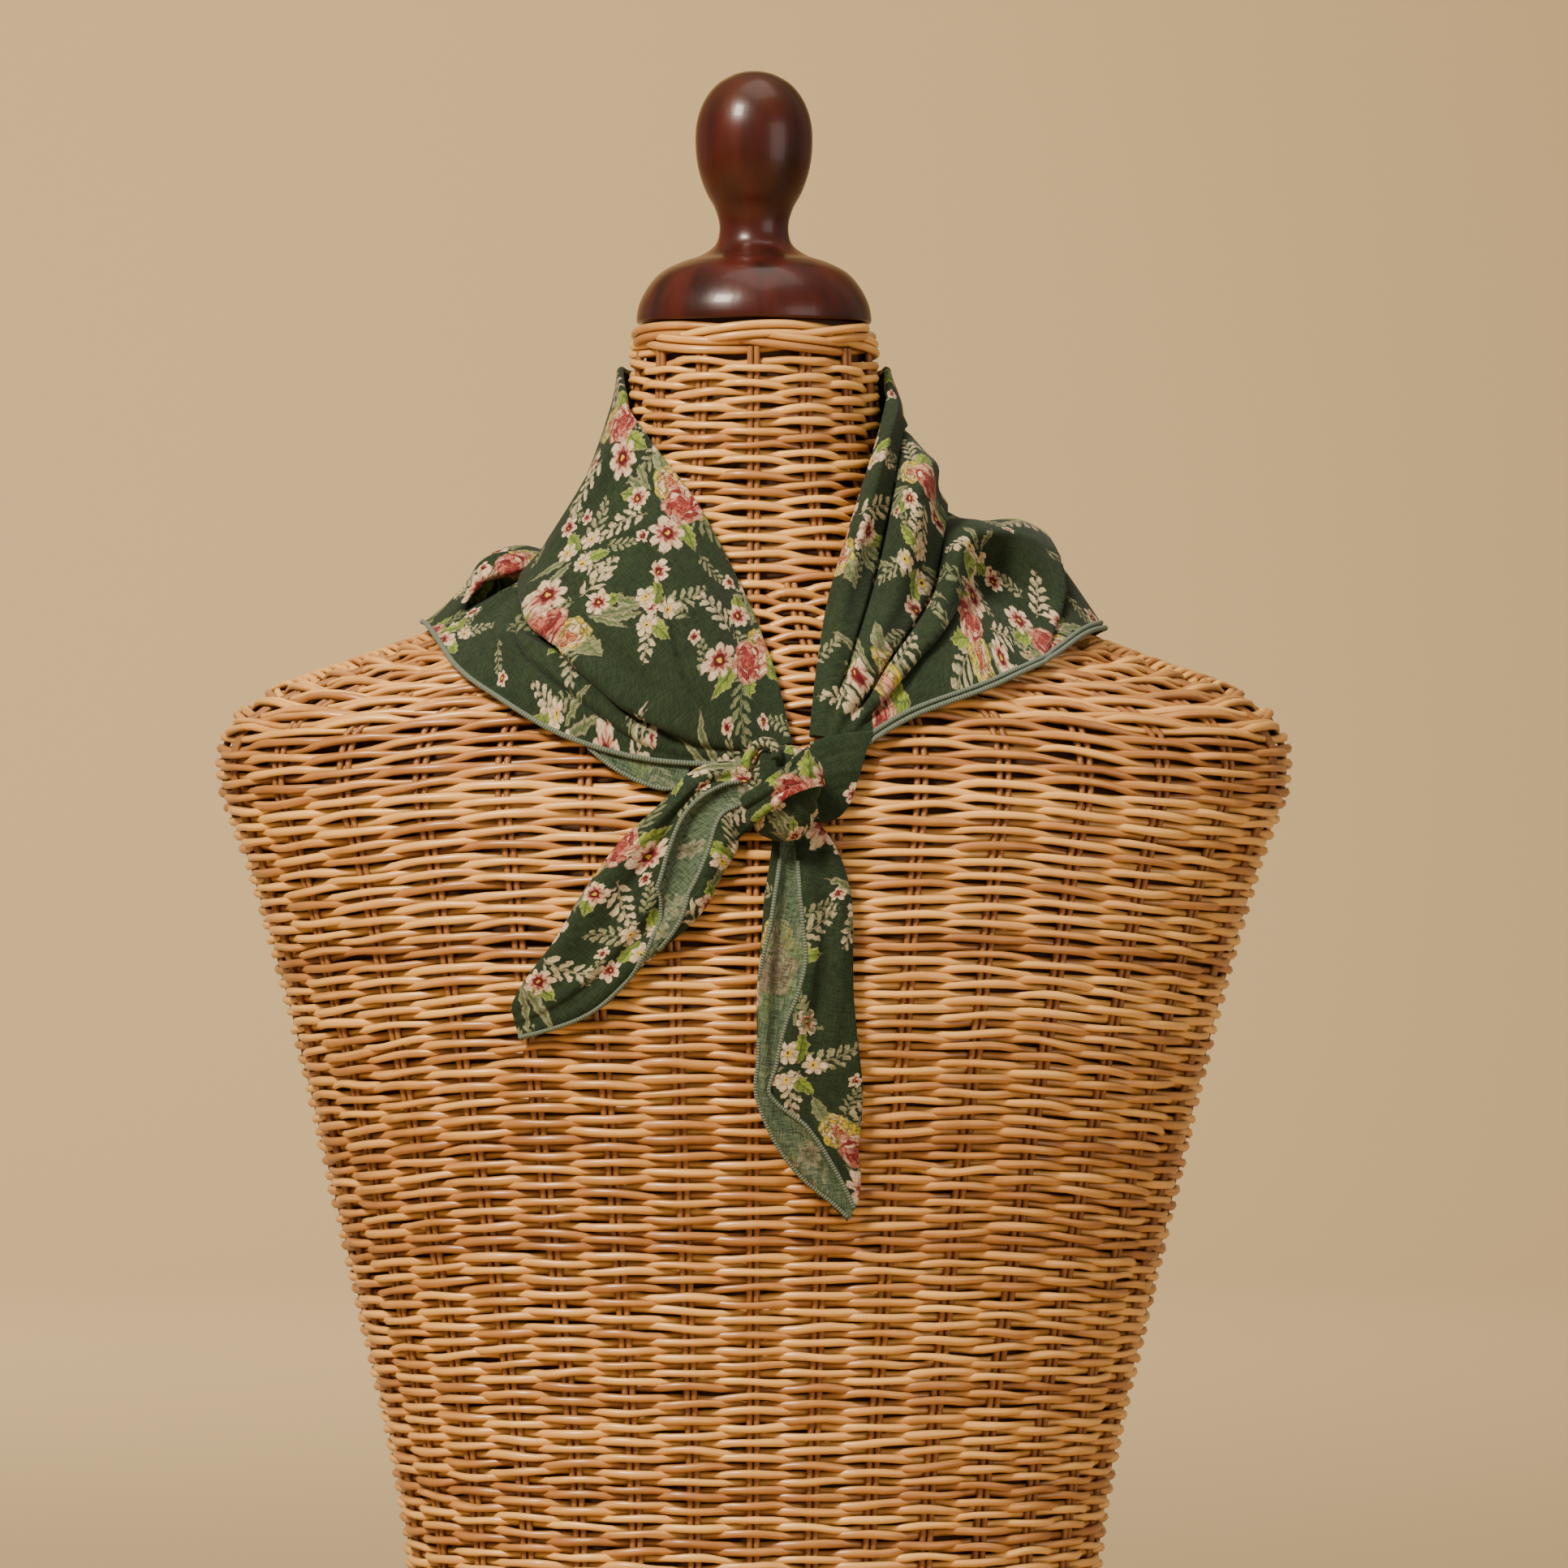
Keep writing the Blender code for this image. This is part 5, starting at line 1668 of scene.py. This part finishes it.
RIGHT_TAIL = StripSizes(
    "tail_right_cloth", "scarf_right_tail",
    rows=(
        ((3.6, 0.1), (9, 456), (10.5, 456), (12, 456), (13.5, 456), (15, 456), (17, 456),
         (19, 456), (21, 456), (23, 456)),
        ((6.2, 0.5), (7, 441), (10, 440), (12, 439), (14, 439), (17, 439.5), (20, 440.5),
         (25, 441), (29, 442), (32, 443)),
        ((7.2, 0.8), (5, 429), (8.5, 428), (11, 427.5), (14, 427.5), (18, 428.5), (22, 430),
         (28, 430.5), (33, 431), (36, 431)),
        ((7.0, 0.8), (4, 417), (7, 416), (10, 415), (14, 415), (19, 416.5), (23, 417.5),
         (28, 418.5), (33, 419), (37, 419)),
        ((6.6, 0.8), (3, 405), (6, 404), (9, 403), (14, 403), (20, 404), (24, 405), (28, 405),
         (33, 405), (37, 405)),
        ((6.2, 0.7), (2, 391), (5, 390), (8, 389), (12, 389.5), (17, 390.5), (21, 391),
         (26, 390.5), (31.5, 390.5), (37, 391)),
        ((5.8, 0.4), (2, 365), (4.5, 364), (7, 364), (9.5, 364.5), (12, 365), (15.5, 366),
         (20.5, 366.5), (29, 366.5), (39, 367)),
        ((5.8, 0.4), (1, 355), (4, 354), (6.5, 354.5), (9, 355), (12, 356), (15.5, 357),
         (20.5, 358), (29, 357), (40, 357)),
        ((5.8, 0.5), (7, 338), (10, 339), (12.5, 341), (15, 343), (18, 345), (21, 347),
         (25, 348.5), (32, 348), (40, 347)),
        ((5.4, 0.5), (18, 322), (20.5, 323.5), (22.5, 326), (24.5, 329), (27, 332),
         (30, 333.5), (33, 334.5), (36, 333), (39, 331)),
        ((4.8, 0.2), (31, 311), (32.2, 312), (33.3, 313), (34.5, 314.5), (35.7, 316),
         (36.8, 317.3), (38, 318.6), (39, 319.8), (40, 321)),
        ((4.4, 0.1), (36, 306), (36.6, 307), (37.2, 308), (37.8, 309.1), (38.3, 310.2),
         (38.8, 311.3), (39.3, 312.5), (39.7, 313.8), (40, 315))),
    flat_turn=-20.0, flat_shift=(100.0, 85.0), held="hung", along=84,
    creases=(Crease((1.0, 5.6), (7.0, 5.6), 1.6, 0.5),
             Crease((2.0, 6.8), (8.0, 6.9), 1.8, -0.6),
             Crease((5.0, 7.4), (10.0, 7.2), 1.6, 0.5)),
    folds=(-2.2, 2.4, -1.6, -1.4, 2.2, 3.0, -0.8, 0.8, -2.2),
    cords=(((0.8, 1), (3, 0.9), (4, 0.4), (4.6, 0.1)),
           ((0.8, 4), (5, 4), (6, 2.8), (7, 1.6), (7.6, 3), (8.2, 4), (11, 4)),
           ((5.6, 0.1), (8, 0.1), (11, 0.4))),
    wrong=(((0, 1), (3, 0.9), (4, 0.4), (4.6, 0), (11, 0)),
           ((0, 4), (5, 4), (6, 2.8), (7, 1.6), (7.6, 3), (8.2, 4), (11, 4))),
    curl=(1.2, 1.2))
LEFT_FLAP = StripSizes(
    "underlap_cloth", "scarf_left_underlap",
    rows=(
        ((1.4, -24, 478), (1.4, -24, 475), (1.4, -25, 472), (1.4, -25, 469)),
        ((1.4, -34, 480), (1.4, -33, 475), (1.4, -32, 471), (1.4, -32, 467)),
        ((1.4, -46, 482), (1.4, -45, 478), (1.4, -43, 474), (1.4, -42, 469.5)),
        ((1.4, -57, 485), (1.4, -56, 482), (1.4, -54, 479), (1.4, -53, 475.5)),
        ((1.4, -66, 487), (1.4, -65, 486), (1.4, -63, 484.5), (1.4, -62, 483))),
    flat_turn=0.0, flat_shift=(60.0, 140.0), held="draped", side=Side.WRONG,
    along=32, across=20, thick=0.6, clear=1.3, cords=(((0, 2.85), (4, 2.85)),))
RIGHT_TUCK = StripSizes(
    "tuck_cloth", "scarf_right_tuck",
    rows=(
        ((6.8, 21.5, 485), (6.8, 21.5, 478), (6.2, 21.5, 471), (5.6, 21.5, 464),
         (4.8, 22, 457)),
        ((7.4, 28, 487), (7.6, 28, 479.5), (7, 27.5, 472), (5.8, 27, 464), (4, 27, 456.5)),
        ((7.2, 36, 488.5), (7.4, 35, 481), (6.6, 34, 473.5), (5.2, 33, 466),
         (3.5, 32.5, 458.5)),
        ((6.4, 45, 489.5), (6, 43, 483), (5.2, 41, 476.5), (4.2, 39, 470), (3, 37, 463.5))),
    flat_turn=70.0, flat_shift=(15.0, 95.0), held="gathered",
    creases=(Crease((0.0, 1.0), (3.0, 1.1), 1.4, -0.6),
             Crease((0.0, 2.0), (3.0, 2.3), 1.4, 0.6),
             Crease((0.0, 2.9), (3.0, 3.2), 1.2, -0.5)),
    along=24, across=32, curl=(0.8, 0.8))


@dataclass(frozen=True)
class KnotSizes:
    """The knot's body, the band over it and the small twist, in millimetres and degrees."""

    middle: Triple = (11.5, -118.8, 466.5)
    half: Triple = (14.0, 11.0, 19.0)
    squareness: float = 2.4
    pole: float = 86
    rings: int = 53
    sides: int = 64
    fold: float = 0.8
    sunk: float = 0.9
    tilt: float = 38
    band: Pair = (-72, 76)
    lower: Triple = (-6, -8, -28)
    upper: Triple = (38, 36, 24)
    band_out: float = 1.4
    band_thick: float = 1.4
    band_steps: tuple[int, int] = (48, 30)
    band_shift: Pair = (-5.0, 25.0)
    band_turn: float = -35.0
    twist: Path = (
        (-0.8, 473.5), (0.6, 478.5), (3.4, 482.4), (7.0, 482.6), (9.0, 480), (9.4, 477.4))
    twist_steps: tuple[int, int] = (40, 20)
    twist_radius: float = 2.2
    twist_out: float = 2.9


@dataclass(frozen=True)
class Scarf:
    """The folded square with its knot, laid on the dress form."""

    SLOT = "printed_cloth"
    LEAST_AREA = 0.3
    HEM = (0.9, 1.05)
    INNER_HEM = (0.7, 0.95)
    TAIL_HEM = (0.75, 0.85)

    shape: FormShape
    cloth: dict[Side, Material]
    hem: Material

    @staticmethod
    def declare_sheet(piece: Piece, grid: ClothGrid, held: str, rests: str,
                      cords: Sequence[Piece]) -> None:
        """States a sheet's flat size, worked out from its grid laid flat."""
        flat = grid.flat.reshape(-1, 2)
        flat = flat - flat.mean(axis=0)
        sizes = [tuple(np.ptp(turned(flat, -turn), axis=0) * MM)
                 for turn in np.radians(np.arange(0, 90, 3))]
        width, length = min(sizes, key=lambda size: size[0] * size[1])
        area = min(grid.area, width * length)
        max(area, Scarf.LEAST_AREA * width * length)
        log.info("%s: flat %.0f x %.0f mm, %.0f cm2", piece.name, width * 1000, length * 1000,
                 area * 1e4)

    def row(self, row: Sequence[Any]) -> Array:
        """Points of one row of the wrap."""
        x, z, forward = np.array(row[1:], float).T
        if row[0] == "chest":
            forward = forward + self.shape.front(x, z)
        return np.stack([x, -forward, z], axis=-1)

    def back_rows(self, sizes: WrapSizes) -> list[Array]:
        """Rows round the back, from the two sides and the middle."""
        middle, by_line = np.array(sizes.back_middle), np.array(sizes.fold_by_line)
        rows = []
        for side, turn in ((self.row(sizes.left[-1]), 1), (self.row(sizes.right[0]), -1)):
            start = np.stack([np.abs(side[:, 0]), side[:, 2]], axis=-1)
            made = []
            for step, (angle, hem) in enumerate(zip(sizes.back_angles, sizes.hem_share)):
                down = np.linspace(0, 1, len(middle)) ** 3
                share = math.sin(math.radians(angle)) ** 2 * (1 - down) + hem * down
                radius, height = (start + (middle - start) * share[:, None]).T
                fold = sizes.back_fold * (1 if step % 2 else -0.5) * (step < 4)
                radius = radius + fold * by_line
                spread = math.radians(90 + angle)
                made.append(np.stack([-turn * radius * math.sin(spread),
                                      -radius * math.cos(spread), height], axis=-1))
            rows.append(made)
        left, right = rows
        return left + right[-2::-1]

    def wrap_grid(self, sizes: WrapSizes) -> ClothGrid:
        """The run from the knot round the neck and back to the knot, as one grid."""
        left = [self.row(row) for row in sizes.left]
        right = [self.row(row) for row in sizes.right]
        net = self.shape.clear(np.array(left + self.back_rows(sizes) + right), sizes.clear)
        marks = (0, len(left) - 1, len(net) - len(right), len(net) - 1)
        middle = len(left) + len(sizes.back_angles) - 1
        knots = run_along(net)
        numbers = [0.0]
        for first, last, steps in zip(marks, marks[1:], sizes.steps):
            numbers += list(np.linspace(first, last, steps + 1)[1:])
        where = np.interp(numbers, np.arange(len(net)), knots)
        early = where <= knots[middle]
        cornered = np.concatenate([
            smooth(net[:middle + 1], knots[:middle + 1], where[early]),
            smooth(net[middle:], knots[middle:], where[~early])])
        corner = np.linspace(0, 1, net.shape[1])[None, :, None] ** 2
        ribs = smooth(net, knots, where) * (1 - corner) + cornered * corner
        grid = self.shape.clear(ClothGrid.crossed(ribs, sizes.across), sizes.clear)
        return ClothGrid(grid, self.shape, np.array(numbers), net.shape[1])

    def strip_grid(self, sizes: StripSizes) -> ClothGrid:
        """A strip on the chest as a grid."""
        stand, x, z = np.moveaxis(sizes.net(), -1, 0)
        net = np.stack([x, -(self.shape.front(x, z) + stand), z], axis=-1)
        numbers = np.linspace(0, len(net) - 1, sizes.along + 1)
        knots = run_along(net)
        ribs = smooth(net, knots, np.interp(numbers, np.arange(len(net)), knots))
        grid = self.shape.clear(ClothGrid.crossed(ribs, sizes.across), sizes.clear)
        return ClothGrid(grid, self.shape, numbers, net.shape[1])

    def build_wrap(self) -> None:
        """The run round the neck with its creases and hem cords."""
        sizes = WrapSizes()
        grid = self.wrap_grid(sizes)
        grid.crease(WRAP_CREASES, sizes.clear)
        grid.fold(WRAP_GROOVES, sizes.clear)
        across = grid.across()
        strip = (across[:, -1:] - across < sizes.strip) & (grid.numbers > sizes.strip_from)[:, None]
        wrap = grid.shell("wrap_cloth", sizes.thick, self.cloth[Side.PRINTED],
                          strip.astype(float), sizes.flat_shift, curl=sizes.curl)
        declare(wrap, self.SLOT, *sizes.nodes)
        last = grid.numbers[-1]
        cords = [declare(grid.cord(name, ((start, 8), (last, 8)), inset, out, reach, self.hem),
                         self.SLOT, *sizes.nodes)
                 for name, start, inset, out, reach in (
                     ("wrap_hem_cord", 0, 0.3, 0.7, self.HEM),
                     ("wrap_hem_inner_cord", sizes.strip_from, sizes.strip, 0.8,
                      self.INNER_HEM))]
        self.declare_sheet(wrap, grid, "draped", "form_torso", cords)

    def build_strip(self, sizes: StripSizes) -> None:
        """A tail, the under layer or the tuck."""
        grid = self.strip_grid(sizes)
        grid.crease(sizes.creases, sizes.clear)
        wrong = None
        if sizes.wrong is not None:
            low, high = (grid.line(path)[:, None] for path in sizes.wrong)
            across = grid.across()
            wrong = ((across > low) & (across < high)).astype(float)
        piece = grid.shell(sizes.name, sizes.thick, self.cloth[sizes.side], wrong,
                           sizes.flat_shift, sizes.flat_turn, sizes.curl)
        declare(piece, self.SLOT, sizes.node)
        cords = [declare(grid.cord(f"{sizes.name}_hem_{number}", path, 0.0, 0.4,
                                   self.TAIL_HEM, self.hem), self.SLOT, sizes.node)
                 for number, path in enumerate(sizes.cords, 1)]
        self.declare_sheet(piece, grid, sizes.held, "form_torso", cords)

    @staticmethod
    def knot_place(sizes: KnotSizes, way: Array, out: Array) -> Array:
        """Points over the knot's rounded body in given directions."""
        way = unit(way)
        share = (np.abs(way / np.array(sizes.half)) ** sizes.squareness).sum(axis=-1)
        return np.array(sizes.middle) + way * (share ** (-1 / sizes.squareness) + out)[..., None]

    def build_bunch(self, name: str, node: str, rings: Array, flat: Array) -> None:
        """Bunched cloth of the knot, as a closed body.

        Args:
            name: The piece's name.
            node: The solid that it stands for.
            rings: Its closed rings.
            flat: The print's flat place at each point, in millimetres.
        """
        piece = MeshMaker.body(name, rings, self.cloth[Side.PRINTED], flat=flat * MM,
                               data={"wrong_side": np.zeros(flat[..., 0].size)})
        declare(piece, self.SLOT, node)

    def build_knot(self, sizes: KnotSizes) -> None:
        """The knot's body, with folds that run slantwise round it."""
        lift, turn = np.meshgrid(np.radians(np.linspace(-sizes.pole, sizes.pole, sizes.rings)),
                                 circle(sizes.sides), indexing="ij")
        way = np.stack([-np.sin(turn) * np.cos(lift), np.cos(turn) * np.cos(lift),
                        np.sin(lift)], axis=-1)
        slant = way @ np.array([0.86, 0, 0.5]) * 7 - np.sin(lift * 2 + turn)
        out = sizes.fold * np.sin(slant * 1.9) * np.cos(lift) - sizes.sunk
        self.build_bunch("knot_cloth", "scarf_knot", self.knot_place(sizes, way, out),
                         np.stack([turn * 14 + 25, lift * 19 - 8], axis=-1))

    def build_band(self, sizes: KnotSizes) -> None:
        """The strand drawn slantwise over the knot."""
        tilt = math.radians(sizes.tilt)
        rise = np.array([math.cos(tilt), 0, math.sin(tilt)])
        up = np.array([-math.sin(tilt), 0, math.cos(tilt)])
        count, wide = sizes.band_steps
        along = np.radians(np.linspace(*sizes.band, count + 1))[:, None]
        place = np.linspace(0, 1, count + 1)
        lower, upper = (np.interp(place, (0, 0.5, 1), edge)[:, None]
                        for edge in (sizes.lower, sizes.upper))
        share = np.linspace(0, 1, wide + 1)
        across = np.radians(lower + (upper - lower) * share)
        way = ((np.cos(across) * np.cos(along))[..., None] * np.array([0.0, -1.0, 0.0])
               + (np.cos(across) * np.sin(along))[..., None] * rise
               + np.sin(across)[..., None] * up)
        ridge = (np.sin(share * 11 + place[:, None] * 2.4) * 0.7
                 + np.sin(share * 25 - place[:, None] * 3) * 0.25) * (1.3 - place[:, None])
        band = ClothGrid(self.knot_place(sizes, way, sizes.band_out + ridge), self.shape,
                         place, wide + 1)
        piece = band.shell("knot_band_cloth", sizes.band_thick, self.cloth[Side.PRINTED],
                           shift=sizes.band_shift, turn=sizes.band_turn)
        declare(piece, self.SLOT, "scarf_knot_band")
        self.declare_sheet(piece, band, "gathered", "scarf_knot", [])

    def build_twist(self, sizes: KnotSizes) -> None:
        """The small twisted strand at the knot's upper left."""
        path = np.array(sizes.twist)
        count, sides = sizes.twist_steps
        path = smooth(path, np.linspace(0, 1, len(path)), np.linspace(0, 1, count + 1))
        half = np.array(sizes.half)
        shift = (path - np.array(sizes.middle)[[0, 2]]) / half[[0, 2]]
        left = np.clip(1 - (np.abs(shift) ** sizes.squareness).sum(axis=-1), 0.02, 1)
        way = np.stack([shift[:, 0] * half[0], -half[1] * left ** (1 / sizes.squareness),
                        shift[:, 1] * half[2]], axis=-1)
        middle = self.knot_place(sizes, way, np.full(len(way), sizes.twist_out))
        turn = math.pi + circle(sides)
        forward = unit(np.gradient(middle, axis=0))
        side = unit(np.cross(forward, unit(way)))
        outward = np.cross(side, forward)
        run = np.linspace(0, 1, len(middle))[:, None]
        radius = sizes.twist_radius * (0.88 + 0.12 * np.cos(3 * turn[None] + run * 14))
        rings = (middle[:, None] + radius[..., None]
                 * (np.cos(turn)[None, :, None] * outward[:, None]
                    + np.sin(turn)[None, :, None] * side[:, None]))
        self.build_bunch("knot_twist_cloth", "scarf_knot_twist", rings, np.stack(
            np.broadcast_arrays(run * 30 + 12, turn * 2.2 + 66), axis=-1))

    def build(self) -> None:
        """All cloth."""
        self.build_wrap()
        for strip in (LEFT_TAIL, RIGHT_TAIL, LEFT_FLAP, RIGHT_TUCK):
            self.build_strip(strip)
        knot = KnotSizes()
        self.build_knot(knot)
        self.build_band(knot)
        self.build_twist(knot)


@dataclass(frozen=True)
class Lamp:
    """A square soft light, in metres and watts; without an aim it faces the scarf."""

    name: str
    place: Triple
    size: float
    power: float
    color: Color
    aim: Optional[Triple] = None


@dataclass(frozen=True)
class StudioSizes:
    """Camera, floor and lights, in metres."""

    target: Triple = (0.0117, 0.0, 0.470)
    distance: float = 3.2
    sensor: float = 36.0
    picture_width: float = 0.6105
    floor_front: float = -4.5
    floor_end: float = 4.6
    floor_half: float = 6.0
    bend: float = 1.6
    wall_top: float = 7.0
    glow: tuple[float, float, float, float] = (1.0, 0.90, 0.76, 1.0)
    glow_strength: float = 0.32
    lamps: tuple[Lamp, ...] = (
        Lamp("key_light", (-1.2, -1.7, 2.25), 0.7, 124.0, (1.0, 0.90, 0.76)),
        Lamp("fill_light", (1.8, -1.6, 0.8), 1.4, 14.0, (1.0, 0.95, 0.90)),
        Lamp("top_light", (0.2, -0.2, 2.2), 1.2, 10.0, (1.0, 0.94, 0.84)),
        Lamp("wash_light", (-0.9, 3.2, 3.5), 2.0, 250.0, (1.0, 0.92, 0.78), (-1.1, 6.2, 0.1)))


@dataclass(frozen=True)
class Studio:
    """A pale floor that curves up to a backdrop, soft lights and the camera."""

    sizes: StudioSizes
    backdrop: Material

    def floor(self) -> None:
        """Floor and backdrop as one swept sheet."""
        sizes = self.sizes
        start, bend, half = sizes.floor_end, sizes.bend, sizes.floor_half
        profile = [(sizes.floor_front, 0.0), (start, 0.0)]
        profile += [(start + bend * math.sin(t), bend - bend * math.cos(t))
                    for t in np.linspace(0.06, math.pi / 2, 24)]
        profile += [(start + bend, sizes.wall_top)]
        points = [(x, y, z) for y, z in profile for x in (-half, half)]
        faces = [(2 * i, 2 * i + 1, 2 * i + 3, 2 * i + 2) for i in range(len(profile) - 1)]
        sheet = MeshMaker.add("studio_floor", np.array(points) / MM, faces, self.backdrop)

    @staticmethod
    def add(name: str, data: bpy.types.ID, place: Triple) -> Piece:
        """A lamp or camera at its place in the scene."""
        made = bpy.data.objects.new(name, data)
        made.location = place
        bpy.context.scene.collection.objects.link(made)
        return made

    def light(self, lamp: Lamp) -> None:
        """One lamp, turned towards its aim."""
        data = bpy.data.lights.new(lamp.name, "AREA")
        data.size, data.energy, data.color = lamp.size, lamp.power, lamp.color
        way = Vector(lamp.aim or self.sizes.target) - Vector(lamp.place)
        made = self.add(lamp.name, data, lamp.place)
        made.rotation_euler = way.to_track_quat("-Z", "Y").to_euler()

    def world(self) -> None:
        """A faint warm glow from all round."""
        world = bpy.data.worlds.new("studio_world")
        world.use_nodes = True
        shade = world.node_tree.nodes["Background"]
        shade.inputs["Color"].default_value = self.sizes.glow
        shade.inputs["Strength"].default_value = self.sizes.glow_strength
        bpy.context.scene.world = world

    def camera(self) -> None:
        """The photo's camera, level and straight in front."""
        sizes = self.sizes
        lens = bpy.data.cameras.new("photo_camera")
        lens.sensor_width = sizes.sensor
        lens.lens = sizes.sensor * sizes.distance / sizes.picture_width
        x, y, z = sizes.target
        camera = self.add("photo_camera", lens, (x, y - sizes.distance, z))
        camera.rotation_euler = (math.pi / 2, 0.0, 0.0)
        bpy.context.scene.camera = camera

    def build(self) -> None:
        """Everything round the part."""
        self.floor()
        for lamp in self.sizes.lamps:
            self.light(lamp)
        self.world()
        self.camera()


def main() -> None:
    """Builds every piece in order."""
    logging.basicConfig(level=logging.INFO, format="%(message)s")
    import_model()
    sizes = FormSizes()
    shape = FormShape(sizes)
    cane, wood, stake = CaneFinish().make(), WoodFinish().make(), StakeFinish().make()
    # Painted shade: the dark brown of the sheet inside the weave stands in for the shade in the
    # hollow form.
    core = PlainFinish("inner_shade_look", (0.085, 0.032, 0.010), 0.9).make()
    DressForm(sizes, shape, cane, stake, wood, core).build()
    BraidedRim(RimSizes(), cane).build()
    Finial(FinialSizes(), wood).build()
    finish = ClothFinish()
    cloth = {Side.PRINTED: finish.make("printed_cloth_look"),
             Side.WRONG: finish.make("wrong_side_look", Side.WRONG)}
    Scarf(shape, cloth, HemFinish().make()).build()
    Studio(StudioSizes(), PlainFinish("backdrop_look", (0.455, 0.325, 0.165), 0.9).make()).build()
    log.info("built the studio")


if __name__ == "__main__":
    main()
